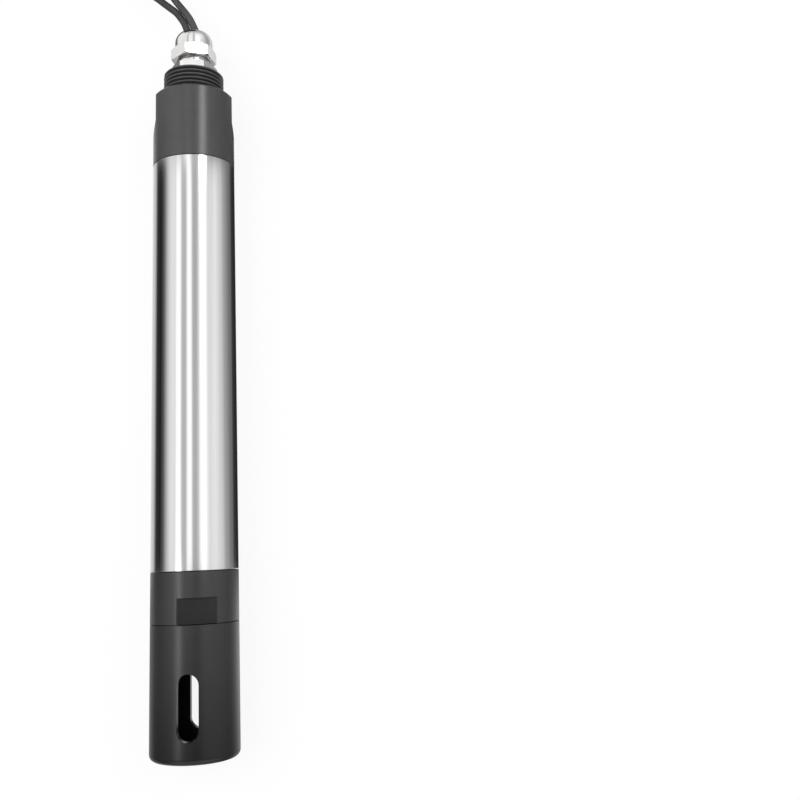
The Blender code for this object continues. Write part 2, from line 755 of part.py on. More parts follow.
def diaphragm_outline(radius):
    """Down the inner face from the centre to the rim, then back along the sensing face."""
    flat = DIAPHRAGM_CENTRE / 2
    face = CELL_FACE + DIAPHRAGM_DEPTH
    points_per_wave = 4
    count = CORRUGATIONS * points_per_wave
    wave = [(0, 0)]
    for i in range(count + 1):
        share = i / count
        lift = (1 - math.cos(2 * math.pi * CORRUGATIONS * share)) / 2
        wave.append((flat + (radius - flat) * share, lift * CORRUGATION_HEIGHT))
    back = [(r, face + DIAPHRAGM_THICKNESS + lift) for r, lift in wave]
    front = [(r, face + lift) for r, lift in wave]
    return back + front[::-1]


# Guard cap


def make_guard_cap(bench):
    mouth = COLLAR_START - GAP / 2
    bore = GUARD_BORE / 2
    thread = SKIRT_DIAMETER / 2 + GAP
    seat = mouth + GAP - SKIRT_LENGTH - GAP
    land = SKIRT_LAND_LENGTH + GAP
    corner = (BODY_RADIUS - GUARD_END_FILLET, GUARD_END_FILLET)
    outline = [
        (thread + GAP / 2 + GUARD_MOUTH_CHAMFER, mouth),
        (BODY_RADIUS, mouth),
        *fillet(corner, GUARD_END_FILLET, 0, -90, 4),
        (GUARD_END_HOLE / 2, 0),
        (GUARD_END_HOLE / 2, GUARD_END_WALL),
        (bore, GUARD_END_WALL),
        (bore, seat),
        (thread, seat),
        (thread, mouth - land),
        (thread + GAP / 2, mouth - land + GAP),
        (thread + GAP / 2, mouth - GUARD_MOUTH_CHAMFER),
    ]
    guard = turned(bench, "guard_cap", outline, "black_acetal", bench.guard)
    slot = outline_prism("guard_slots", slot_outline(), BODY_DIAMETER + 2 * OVERRUN)
    slot.data.transform(Matrix.Rotation(math.radians(90), 4, "X"))
    cut(bench, guard, slot).rotation_euler = (0, 0, math.radians(SLOT_CLOCK))


def slot_outline():
    """A long hole with round ends, from its two end radii."""
    radius = SLOT_WIDTH / 2
    low = SLOT_SET_BACK + radius
    high = SLOT_SET_BACK + SLOT_LENGTH - radius
    return fillet((0, high), radius, 0, 180, 8) + fillet((0, low), radius, 180, 360, 8)


# Electronics


def make_electronics(bench):
    middle = (TUBE_START + HEAD_START) / 2
    for end, name in ((-1, "board_carrier_front"), (1, "board_carrier_rear")):
        make_board_carrier(bench, name, middle + end * CARRIER_SPAN / 2)
    board_length = CARRIER_SPAN - CARRIER_THICKNESS + 2 * BOARD_TONGUE
    board = block("circuit_board", (BOARD_WIDTH, BOARD_THICKNESS, board_length), (0, 0, middle))
    place(bench, board, "board_laminate", bench.probe)
    chip(bench, "processor_chip", (12 * MM, 12 * MM, 1.4 * MM), 2 * MM, middle - 2 * MM, "chip_black")
    chip(bench, "converter_chip", (8 * MM, 6 * MM, 1.4 * MM), -4 * MM, middle - 30 * MM, "chip_black")
    chip(bench, "transceiver_chip", (5 * MM, 6 * MM, 1.6 * MM), 6 * MM, middle + 22 * MM, "chip_black")
    chip(bench, "isolation_transformer", (12 * MM, 13 * MM, 10 * MM), -7 * MM, middle + 30 * MM, "chip_black")
    chip(bench, "power_inductor", (8 * MM, 8 * MM, 4 * MM), BOARD_WIDTH / 2 - 9 * MM, middle + 40 * MM, "chip_black")
    chip(bench, "sensor_connector", SENSOR_CONNECTOR, 0, sensor_connector_station(), "white_nylon")
    chip(bench, "cable_terminal", CABLE_TERMINAL, 0, cable_terminal_station(), "white_nylon")
    make_capacitors(bench)


SENSOR_CONNECTOR = (16 * MM, 7 * MM, 6 * MM)
CABLE_TERMINAL = (18 * MM, 9 * MM, 8 * MM)
TERMINAL_SET_IN = 14 * MM
CAPACITOR_DIAMETER = 6.4 * MM
CAPACITOR_HEIGHT = 7 * MM
CAPACITOR_SET_IN = 8 * MM
CAPACITOR_OFFSET = 14.5 * MM
CAPACITOR_PITCH = 9 * MM


def sensor_connector_station():
    return (TUBE_START + HEAD_START) / 2 - CARRIER_SPAN / 2 + TERMINAL_SET_IN


def cable_terminal_station():
    return (TUBE_START + HEAD_START) / 2 + CARRIER_SPAN / 2 - TERMINAL_SET_IN


def make_board_carrier(bench, name, station):
    """A disc that fits the tube and holds one end of the board in a slot, with two windows for wires."""
    half = CARRIER_THICKNESS / 2
    radius = SPIGOT_RADIUS
    outline = [(0, station + half), (radius, station + half), (radius, station - half), (0, station - half)]
    carrier = turned(bench, name, outline, "white_nylon", bench.probe)
    slot = block(
        name + "_slot",
        (BOARD_WIDTH + 2 * GAP, BOARD_THICKNESS + 2 * GAP, CARRIER_THICKNESS + OVERRUN),
        (0, 0, station),
    )
    cut(bench, carrier, slot)
    for side in (-1, 1):
        window = rod(name + "_window", CARRIER_WINDOW / 2, station - half - OVERRUN, station + half + OVERRUN)
        cut(bench, carrier, window).location = (0, side * CARRIER_WINDOW_OFFSET, 0)


def make_capacitors(bench):
    """Two can capacitors standing side by side near the board's edge, next to the sensor connector."""
    foot = BOARD_THICKNESS / 2 + GAP
    across = BOARD_WIDTH / 2 - CAPACITOR_SET_IN
    for i, name in enumerate(("filter_capacitor_input", "filter_capacitor_output")):
        made = rod(name, CAPACITOR_DIAMETER / 2, foot, foot + CAPACITOR_HEIGHT, TINY_STEPS)
        made.data.transform(Matrix.Rotation(math.radians(90), 4, "X"))
        made.location = (across, 0, sensor_connector_station() + CAPACITOR_OFFSET + i * CAPACITOR_PITCH)
        place(bench, made, "tinned_copper", bench.probe)
        smooth(made.data)


# Wiring inside the housing


def make_inner_wiring(bench):
    entry = SEAL_END + GAP
    for side, name in ((-1, "signal_cable_inner"), (1, "vent_tube_inner")):
        x = side * CORD_PITCH / 2
        path = [(x, 0, HEAD_START + CORD_ENTRY - OVERRUN), (x, 0, entry - GAP / 2)]
        tube(bench, name, path, CORD_RADIUS, "cord_jacket", bench.probe)
    make_cable_cores(bench)
    make_vent_line(bench)
    make_sensor_leads(bench)


def make_cable_cores(bench):
    """The cores from the end of the cable's jacket to the terminal block."""
    radius = CORE_DIAMETER / 2
    jacket_end = HEAD_START + CORD_ENTRY - OVERRUN - GAP
    terminal = cable_terminal_station() + CABLE_TERMINAL[1] / 2 + GAP
    top = -(BOARD_THICKNESS / 2 + GAP + 4 * MM)
    window = -CARRIER_WINDOW_OFFSET
    carrier = (TUBE_START + HEAD_START) / 2 + CARRIER_SPAN / 2
    for i, name in enumerate(CORES):
        side = i - 1
        turn = math.radians(90 - 120 * side)
        start = Vector((-CORD_PITCH / 2 + CORE_SPREAD * math.cos(turn), -CORE_SPREAD * math.sin(turn), jacket_end))
        route = [
            start,
            start - Vector((0, 0, 8 * MM)),
            (side * 1.6 * MM, window, carrier + 8 * MM),
            (side * 1.6 * MM, window, carrier - 4 * MM),
            (side * 3.6 * MM, top - 1 * MM, terminal + 3 * MM),
            (side * 4 * MM, top, terminal),
        ]
        tube(bench, "cable_core_" + name, smooth_path(route, 2), radius, "wire_insulation", bench.probe, 1)


def make_vent_line(bench):
    """The thin line that carries air from the vent tube, under the board, to the back of the pressure cell."""
    start = HEAD_START + CORD_ENTRY - OVERRUN - GAP
    end = BLOCK_SEAT + POTTING_LENGTH + GAP
    window = CARRIER_WINDOW_OFFSET
    front = (TUBE_START + HEAD_START) / 2 - CARRIER_SPAN / 2
    rear = (TUBE_START + HEAD_START) / 2 + CARRIER_SPAN / 2
    route = [
        (CORD_PITCH / 2, 0, start),
        (CORD_PITCH / 2, 1 * MM, start - 10 * MM),
        (1 * MM, window, rear + 9 * MM),
        (0, window, rear - 10 * MM),
        (0, window, front + 10 * MM),
        (1 * MM, window, front - 8 * MM),
        (*on_clock(RECESS_CLOCK, RECESS_OFFSET, 0).to_2d(), end + 5 * MM),
        (*on_clock(RECESS_CLOCK, RECESS_OFFSET, 0).to_2d(), end),
    ]
    tube(bench, "vent_line", smooth_path(route, 3), VENT_LINE_DIAMETER / 2, "white_nylon", bench.probe, 1)


def make_sensor_leads(bench):
    """Leads from the potted back of the sensing block, through the front carrier, to the board's connector."""
    radius = CORE_DIAMETER / 2
    start = BLOCK_SEAT + POTTING_LENGTH + GAP
    carrier = (TUBE_START + HEAD_START) / 2 - CARRIER_SPAN / 2
    terminal = sensor_connector_station() - SENSOR_CONNECTOR[1] / 2 - GAP
    top = -(BOARD_THICKNESS / 2 + GAP + 3 * MM)
    window = -CARRIER_WINDOW_OFFSET
    feet = {
        "temperature_lead_return": on_clock(PIN_CLOCK + 8, TEMPERATURE_LEAD_RING, start),
        "temperature_lead_signal": on_clock(PIN_CLOCK - 8, TEMPERATURE_LEAD_RING, start),
        "electrode_lead_left": on_clock(ELECTRODE_CLOCKS["electrode_left"], ELECTRODE_LEAD_RING, start),
        "electrode_lead_upper": on_clock(ELECTRODE_CLOCKS["electrode_upper"], ELECTRODE_LEAD_RING, start),
    }
    for lane, (name, foot) in zip((-1.5, -0.5, 0.5, 1.5), feet.items()):
        route = [
            foot,
            foot + Vector((0, 0, 5 * MM)),
            (lane * LEAD_PITCH, window, carrier - 8 * MM),
            (lane * LEAD_PITCH, window, carrier + 4 * MM),
            (lane * LEAD_PITCH * 1.7, top - 1 * MM, terminal - 2 * MM),
            (lane * LEAD_PITCH * 1.8, top, terminal),
        ]
        tube(bench, name, smooth_path(route, 2), radius, "wire_insulation", bench.probe, 1)


# Free cords, their coils and what is on their ends


def floor_point(x, station, height):
    """A route point given in millimetres, as a place in the part's own frame."""
    return Vector((x * MM, station * MM - PROBE_LENGTH / 2, height * MM))


def make_cords(bench):
    jacket = "cord_jacket"
    for name, route in (("signal_cable", SIGNAL_ROUTE), ("vent_tube", VENT_ROUTE)):
        path = smooth_path([floor_point(*point) for point in route], 2)
        tube(bench, name, path, CORD_RADIUS, jacket, None)
    make_coil(bench, "signal_coil", SIGNAL_COIL_CENTRE)
    make_coil(bench, "vent_coil", VENT_COIL_CENTRE)
    make_cable_end(bench, SIGNAL_COIL_CENTRE)
    make_vent_end(bench, VENT_COIL_CENTRE)


def coil_bottom():
    return STRAP_LIFT + STRAP_THICKNESS + GAP


def coil_top():
    return coil_bottom() + COIL_LAYERS * COIL_PITCH


def make_coil(bench, name, centre):
    """The outer shape of a wound coil, lying flat, and the two straps round it."""
    outer = COIL_OUTER_TURN + COIL_PITCH / 2
    inner = COIL_OUTER_TURN - (COIL_COLUMNS - 1) * COIL_PITCH - COIL_PITCH / 2
    edge = COIL_PITCH / 3
    bottom, top = coil_bottom(), coil_top()
    outline = [
        (inner + edge, top), (outer - edge, top), (outer, top - edge), (outer, bottom + edge),
        (outer - edge, bottom), (inner + edge, bottom), (inner, bottom + edge), (inner, top - edge),
    ]
    spot = floor_point(*centre, 0)
    turned(bench, name, outline, "cord_jacket", None, SMALL_STEPS, spot)
    bore_at_edge = math.sqrt((inner * math.cos(math.pi / SMALL_STEPS)) ** 2 - (STRAP_WIDTH / 2) ** 2)
    for side, clock in STRAP_CLOCKS.items():
        strap = strap_band(f"{name}_strap_{side}", bore_at_edge - GAP, outer + GAP, bottom - GAP, top + GAP)
        strap.location = spot
        strap.rotation_euler = (0, 0, math.radians(clock))
        place(bench, strap, "strap_nylon", None)


def strap_band(name, inner, outer, bottom, top):
    """A flat band wrapped round the coil's section, standing across local X."""
    shape = bmesh.new()
    thickness = STRAP_THICKNESS
    outside = [(inner - thickness, bottom - thickness), (outer + thickness, bottom - thickness),
               (outer + thickness, top + thickness), (inner - thickness, top + thickness)]
    inside = [(inner, bottom), (outer, bottom), (outer, top), (inner, top)]
    rings = []
    for side in (-STRAP_WIDTH / 2, STRAP_WIDTH / 2):
        for loop in (outside, inside):
            rings.append([shape.verts.new((r, side, z)) for r, z in loop])
    for i in range(4):
        j = (i + 1) % 4
        shape.faces.new((rings[0][i], rings[0][j], rings[1][j], rings[1][i]))
        shape.faces.new((rings[2][j], rings[2][i], rings[3][i], rings[3][j]))
        shape.faces.new((rings[0][j], rings[0][i], rings[2][i], rings[2][j]))
        shape.faces.new((rings[1][i], rings[1][j], rings[3][j], rings[3][i]))
    bmesh.ops.recalc_face_normals(shape, faces=shape.faces)
    return to_object(name, shape)


def arc_on_coil(centre, start, end, low, high, count):
    """Points along an arc on top of a coil, between two angles in degrees and two heights."""
    middle = floor_point(*centre, 0)
    path = []
    for i in range(count + 1):
        share = i / count
        angle = math.radians(start + (end - start) * share)
        height = low + (high - low) * (1 - math.cos(math.pi * share)) / 2
        path.append(middle + Vector((TAIL_RADIUS * math.cos(angle), TAIL_RADIUS * math.sin(angle), height)))
    return path


def degrees_for(length):
    """How many degrees a length takes along the tail's arc."""
    return math.degrees(length / TAIL_RADIUS)


def make_cable_end(bench, centre):
    """The cable's far end on top of its coil: a shrink sleeve, the cores and their ferrules."""
    sleeve_radius = CORD_RADIUS + SLEEVE_WALL
    height = coil_top() + sleeve_radius + GAP
    tail_end = TAIL_START - TAIL_TURN
    tail = arc_on_coil(centre, TAIL_START, tail_end, height, height, 6)
    tube(bench, "signal_cable_tail", tail, CORD_RADIUS, "cord_jacket", None)
    sleeve_start = tail_end - degrees_for(GAP)
    sleeve_end = sleeve_start - degrees_for(SLEEVE_LENGTH)
    sleeve = arc_on_coil(centre, sleeve_start, sleeve_end, height, height, 4)
    tube(bench, "cable_end_sleeve", sleeve, sleeve_radius, "black_rubber", None)
    tangent = (sleeve[-1] - sleeve[-2]).normalized()
    across = Vector((0, 0, 1)).cross(tangent)
    for i, name in enumerate(CORES):
        side = (i - 1) * 1.5 * MM
        start = sleeve[-1] + tangent * GAP + across * side * 0.9
        spread = across * side * 1.6
        bend = start + tangent * 6 * MM + spread * 0.4
        end = start + tangent * 12 * MM + spread
        along = (end - bend).normalized()
        ferrule = [end + along * GAP, end + along * (GAP + FERRULE_LENGTH)]
        radius = CORE_DIAMETER / 2
        tube(bench, "end_core_" + name, smooth_path([start, bend, end], 2), radius, "wire_insulation", None, 1)
        tube(bench, "end_ferrule_" + name, ferrule, radius, "tinned_copper", None, 1)


def make_vent_end(bench, centre):
    """The vent tube's far end: a breather filter capsule lying on the coil."""
    low = coil_top() + CORD_RADIUS + GAP
    high = coil_top() + FILTER_DIAMETER / 2 + GAP
    tail_end = TAIL_START - TAIL_TURN
    tail = arc_on_coil(centre, TAIL_START, tail_end, low, high, 8)
    tube(bench, "vent_tube_tail", tail, CORD_RADIUS, "cord_jacket", None)
    radius = FILTER_DIAMETER / 2
    spout = CORD_RADIUS + 0.8 * MM
    start = GAP
    end = GAP + FILTER_LENGTH
    outline = [
        (0, end), (spout, end), (spout, end - 3 * MM), (radius - 1 * MM, end - 4 * MM), (radius, end - 5 * MM),
        (radius, start + 5 * MM), (radius - 1 * MM, start + 4 * MM), (spout, start + 3 * MM), (spout, start),
        (0, start),
    ]
    tangent = tail[-1] - tail[-2]
    tangent.z = 0
    capsule = turned(bench, "vent_filter", outline, "white_nylon", None, TINY_STEPS, tail[-1])
    capsule.rotation_euler = tangent.to_track_quat("Z", "Y").to_euler()


main()
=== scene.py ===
"""The looks of the conductivity, temperature and depth probe.

The probe lies along Y with its sensing end at -Y. A station is a distance along the axis from the sensing
end of the guard cap, in millimetres. A clock angle is seen from that end: 0 is straight up and 90 points
along +X.
"""

import math

import bmesh
import bpy
from mathutils import Matrix, Vector


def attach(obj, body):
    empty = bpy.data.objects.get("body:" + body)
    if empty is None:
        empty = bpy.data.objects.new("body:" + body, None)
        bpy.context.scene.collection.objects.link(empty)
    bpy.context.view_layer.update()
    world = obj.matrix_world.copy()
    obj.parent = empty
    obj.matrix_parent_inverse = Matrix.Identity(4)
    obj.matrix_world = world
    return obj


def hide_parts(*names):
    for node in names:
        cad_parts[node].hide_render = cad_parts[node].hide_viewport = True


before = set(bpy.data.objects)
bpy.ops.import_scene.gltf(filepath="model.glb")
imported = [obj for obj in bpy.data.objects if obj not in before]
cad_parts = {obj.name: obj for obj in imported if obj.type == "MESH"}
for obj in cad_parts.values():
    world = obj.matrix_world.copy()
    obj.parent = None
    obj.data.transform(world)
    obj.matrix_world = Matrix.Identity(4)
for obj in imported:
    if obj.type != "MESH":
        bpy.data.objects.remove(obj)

MM = 0.001
PROBE_LENGTH = 384.4
AXIS_HEIGHT = 22.0
GAP = 0.3

BODY_RADIUS = 22.0
COLLAR_START = 63.4
TUBE_START = 88.4
HEAD_START = 303.4
NECK_START = 344.4
NECK_END = 358.3
GLAND_HEX_TOP = 364.0
NUT_START = 367.4
NUT_BARREL_START = 373.4
NUT_DOME_START = 378.2
SEAL_END = 377.9
BLOCK_SEAT = 81.2
GLAND_HEX = 22.5
NUT_HEX = 22.0

BODY_EASE = 0.2
TUBE_BORE_RADIUS = 20.5
SPIGOT_LENGTH = 16.0
HEAD_FLAT_CLOCKS = (102, 282)
HEAD_FLAT_REACH = 20.6
HEAD_FLAT_LENGTH = 16
HEAD_FLAT_RUNOUT = 7
NECK_BORE_RADIUS = 8.0
COLLAR_CLOCK = 15
COLLAR_FLAT_REACH = 19.7
COLLAR_FLAT_HEIGHT = 12.4
SKIRT_LENGTH = 18.0
SKIRT_BORE_RADIUS = 18.0
WINDOW_HALF_WIDTH = 9.15
CUTTER_REACH = 25
SLOT_CLOCK = 2.3
SLOT_RADIUS = 5.2
SLOT_ENDS = ((35.8, 0), (15.6, 180))
GUARD_END_WALL = 4.2
GUARD_HOLE_RADIUS = 8.0
GUARD_FILLET = 3
GLAND_HEX_CLOCK = 36
NUT_HEX_CLOCK = 49
GLAND_THREAD_RADIUS = 8.9
GLAND_BORE_RADIUS = 6.3
NUT_THREAD_RADIUS = 9.2
NUT_BARREL_RADIUS = 10.4
NUT_MOUTH_RADIUS = 5.3

CORD_DIAMETER = 4.0
COIL_PITCH = 4.16
COIL_OUTER_TURN = 26.0
COIL_COLUMNS = 4
COIL_LAYERS = 10
COIL_BOTTOM = 1.3
COIL_TOP = COIL_BOTTOM + COIL_LAYERS * COIL_PITCH
TAIL_RADIUS = 19.8
TAIL_START = 215
TAIL_END = 175
COIL_LEFT_AT = 258
COIL_STEP = 12
COIL_CHANGE = 60
SIGNAL_COIL_CENTRE = (-23.6, 521.2)
SIGNAL_COIL_ENTRY = 180
VENT_COIL_CENTRE = (-18, 461.2)
VENT_COIL_ENTRY = 207
SIGNAL_ROUTE = [
    (-2.9, 385.04, 21.85), (-5.14, 391.26, 21), (-6.45, 394.22, 20), (-8.45, 397.57, 19),
    (-11.2, 401.65, 17.7), (-14.9, 405.4, 16.5), (-18.4, 408.9, 15.2), (-21.9, 412.7, 13.6),
    (-26.9, 417.7, 11.3), (-32.2, 422.9, 8.9), (-38, 428, 6.6), (-43.5, 433, 4.6), (-47.6, 439.5, 3.2),
    (-49.4, 447.5, 2.4), (-49.6, 458, 2.1), (-49.6, 471.2, 2.1), (-49.6, 483, 2.1), (-49.6, 494, 2.4),
    (-49.6, 506.2, 3.4),
]
VENT_ROUTE = [
    (1.1, 386.4, 22), (-1.4, 392.7, 21.8), (-3.1, 396.1, 21.4),
    (-5.3, 399.6, 20.7), (-8, 403.7, 19.4), (-11.2, 408.7, 17.4), (-14.7, 414.9, 14.8), (-18.4, 421.3, 12.2),
    (-22, 425.8, 9.6), (-26.3, 429.3, 6.9), (-29.9, 432, 4.9), (-32.93, 434.98, 3.6),
]

FINE = 144


def at(x, station, height):
    """A point given in millimetres, in the row frame in metres."""
    return Vector((x * MM, (station - PROBE_LENGTH / 2) * MM, height * MM))


def round_axis(clock, radius, station):
    """A point at a clock angle and a distance from the probe's axis."""
    turn = math.radians(clock)
    return at(radius * math.sin(turn), station, AXIS_HEIGHT + radius * math.cos(turn))


# Camera

VIEW_CLOCK = 11.785
VIEW_RADIUS = 516.688
VIEW_STATION = 96.732
VIEW_TURNS = ((1.524, "Y"), (12.103, "X"), (-2.284, "Z"))
LENS_LENGTH = 44.172
LENS_SHIFT = (0.04, -0.08)


def set_camera():
    lens = bpy.data.cameras.new("camera")
    lens.lens = LENS_LENGTH
    lens.sensor_width = 36
    lens.shift_x, lens.shift_y = LENS_SHIFT
    lens.clip_start = 0.01
    lens.clip_end = 20
    camera = bpy.data.objects.new("camera", lens)
    turn = Matrix()
    for angle, axis in VIEW_TURNS:
        turn = turn @ Matrix.Rotation(math.radians(angle), 4, axis)
    place = round_axis(VIEW_CLOCK, VIEW_RADIUS, VIEW_STATION)
    camera.matrix_world = Matrix.Translation(place) @ turn
    bpy.context.scene.collection.objects.link(camera)
    bpy.context.scene.camera = camera


# Mesh helpers


def link(name, mesh):
    """A new object in the scene for a mesh."""
    piece = bpy.data.objects.new(name, mesh)
    bpy.context.scene.collection.objects.link(piece)
    return piece


def smoothed(piece, angle=30):
    """Smooth shading in which a large face keeps its own direction up to its eased edges."""
    piece.data.shade_smooth()
    piece.data.set_sharp_from_angle(angle=math.radians(angle))
    even = piece.modifiers.new("even", "WEIGHTED_NORMAL")
    even.keep_sharp = True
    settled(piece)
    return piece


def eased(outline, radius, steps=3):
    """A closed (radius, station) outline with its corners rounded off; a point may carry its own radius."""
    points = [(p[0], p[1], p[2] if len(p) > 2 else radius) for p in outline]
    result = []
    for i, (r, s, ease) in enumerate(points):
        here = Vector((r, s))
        before = Vector(points[i - 1][:2]) - here
        after = Vector(points[(i + 1) % len(points)][:2]) - here
        if r < 1e-6 or ease <= 0 or before.length < 1e-6 or after.length < 1e-6:
            result.append((r, s))
            continue
        corner = before.angle(after)
        if corner > math.radians(178):
            result.append((r, s))
            continue
        reach = min(ease / math.tan(corner / 2), before.length * 0.45, after.length * 0.45)
        start = here + before.normalized() * reach
        end = here + after.normalized() * reach
        for k in range(steps + 1):
            t = k / steps
            point = start * (1 - t) ** 2 + here * 2 * t * (1 - t) + end * t**2
            result.append((point.x, point.y))
    return result


def lathe(name, outline, steps=FINE, centre=(0.0, 0.0)):
    """A closed solid turned round the probe's axis, or round a line at (x, height) from it."""
    shape = bmesh.new()
    rings = []
    for r, s in outline:
        if r < 1e-6:
            rings.append([shape.verts.new(at(centre[0], s, AXIS_HEIGHT + centre[1]))])
            continue
        ring = []
        for k in range(steps):
            turn = 2 * math.pi * k / steps
            ring.append(
                shape.verts.new(
                    at(centre[0] + r * math.sin(turn), s, AXIS_HEIGHT + centre[1] + r * math.cos(turn))
                )
            )
        rings.append(ring)
    for i, ring in enumerate(rings):
        following = rings[(i + 1) % len(rings)]
        for k in range(steps):
            n = (k + 1) % steps
            if len(ring) == 1 and len(following) == 1:
                break
            if len(ring) == 1:
                shape.faces.new((ring[0], following[k], following[n]))
            elif len(following) == 1:
                shape.faces.new((ring[k], following[0], ring[n]))
            else:
                shape.faces.new((ring[k], following[k], following[n], ring[n]))
    bmesh.ops.recalc_face_normals(shape, faces=shape.faces)
    mesh = bpy.data.meshes.new(name)
    shape.to_mesh(mesh)
    shape.free()
    return smoothed(link(name, mesh))


def prism(name, points, low, high, place):
    """A flat outline given thickness along its own Z, then put in place by a matrix."""
    shape = bmesh.new()
    bottom = [shape.verts.new((x, y, low)) for x, y in points]
    top = [shape.verts.new((x, y, high)) for x, y in points]
    shape.faces.new(bottom)
    shape.faces.new(list(reversed(top)))
    for i in range(len(points)):
        j = (i + 1) % len(points)
        shape.faces.new((bottom[i], bottom[j], top[j], top[i]))
    bmesh.ops.recalc_face_normals(shape, faces=shape.faces)
    shape.transform(place)
    mesh = bpy.data.meshes.new(name)
    shape.to_mesh(mesh)
    shape.free()
    return link(name, mesh)


def across_axis(clock):
    """A frame with X pointing out at a clock angle, Y along the probe and its origin at station zero."""
    turn = math.radians(clock)
    out = Vector((math.sin(turn), 0, math.cos(turn)))
    along = Vector((0, 1, 0))
    place = Matrix((out, along, out.cross(along))).transposed().to_4x4()
    return Matrix.Translation(at(0, 0, AXIS_HEIGHT)) @ place


def along_axis():
    """A frame with Z along the probe, X towards +X and Y straight down, and its origin at station zero."""
    place = Matrix((Vector((1, 0, 0)), Vector((0, 0, -1)), Vector((0, 1, 0)))).transposed().to_4x4()
    return Matrix.Translation(at(0, 0, AXIS_HEIGHT)) @ place


def scaled(points):
    """Pairs of millimetres, in metres."""
    return [(x * MM, y * MM) for x, y in points]


def settled(piece):
    """The piece with its modifiers made real."""
    bpy.context.view_layer.update()
    evaluated = piece.evaluated_get(bpy.context.evaluated_depsgraph_get())
    mesh = bpy.data.meshes.new_from_object(evaluated)
    mesh.name = piece.name
    old = piece.data
    piece.modifiers.clear()
    piece.data = mesh
    if old.users == 0:
        (bpy.data.curves if isinstance(old, bpy.types.Curve) else bpy.data.meshes).remove(old)
    return piece


def carved(piece, cutters, operation="DIFFERENCE", edge=0.25, edge_angle=30):
    """The piece cut by each cutter, its new edges eased; the cutters are removed."""
    for cutter in cutters:
        step = piece.modifiers.new("cut", "BOOLEAN")
        step.operation = operation
        step.solver = "EXACT"
        step.object = cutter
    settled(piece)
    for cutter in cutters:
        bpy.data.objects.remove(cutter, do_unlink=True)
    clean = bmesh.new()
    clean.from_mesh(piece.data)
    bmesh.ops.remove_doubles(clean, verts=clean.verts, dist=0.002 * MM)
    bmesh.ops.dissolve_degenerate(clean, edges=clean.edges, dist=0.001 * MM)
    clean.to_mesh(piece.data)
    clean.free()
    if edge:
        ease = piece.modifiers.new("ease", "BEVEL")
        ease.width = edge * MM
        ease.segments = 2
        ease.limit_method = "ANGLE"
        ease.angle_limit = math.radians(edge_angle)
        ease.use_clamp_overlap = True
        settled(piece)
    return smoothed(piece)


def finished(piece, material, body="probe", nodes=()):
    """Gives a piece its material, hides the CAD parts it stands for, and attaches it to the body it moves
    with.
    """
    piece.data.materials.clear()
    piece.data.materials.append(material)
    if nodes:
        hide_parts(*nodes)
    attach(piece, body)


# Threads, made with Geometry Nodes


class Sums:
    """Short-hand for a row of Math nodes in one tree."""

    def __init__(self, tree):
        self.tree = tree

    def do(self, operation, *values):
        node = self.tree.nodes.new("ShaderNodeMath")
        node.operation = operation
        for socket, value in zip(node.inputs, values):
            if isinstance(value, (int, float)):
                socket.default_value = value
            else:
                self.tree.links.new(value, socket)
        return node.outputs[0]


THREAD_SIZES = (
    "Start", "Length", "Crest Radius", "Root Radius", "Bore Radius", "Pitch", "End Chamfer", "Phase",
)


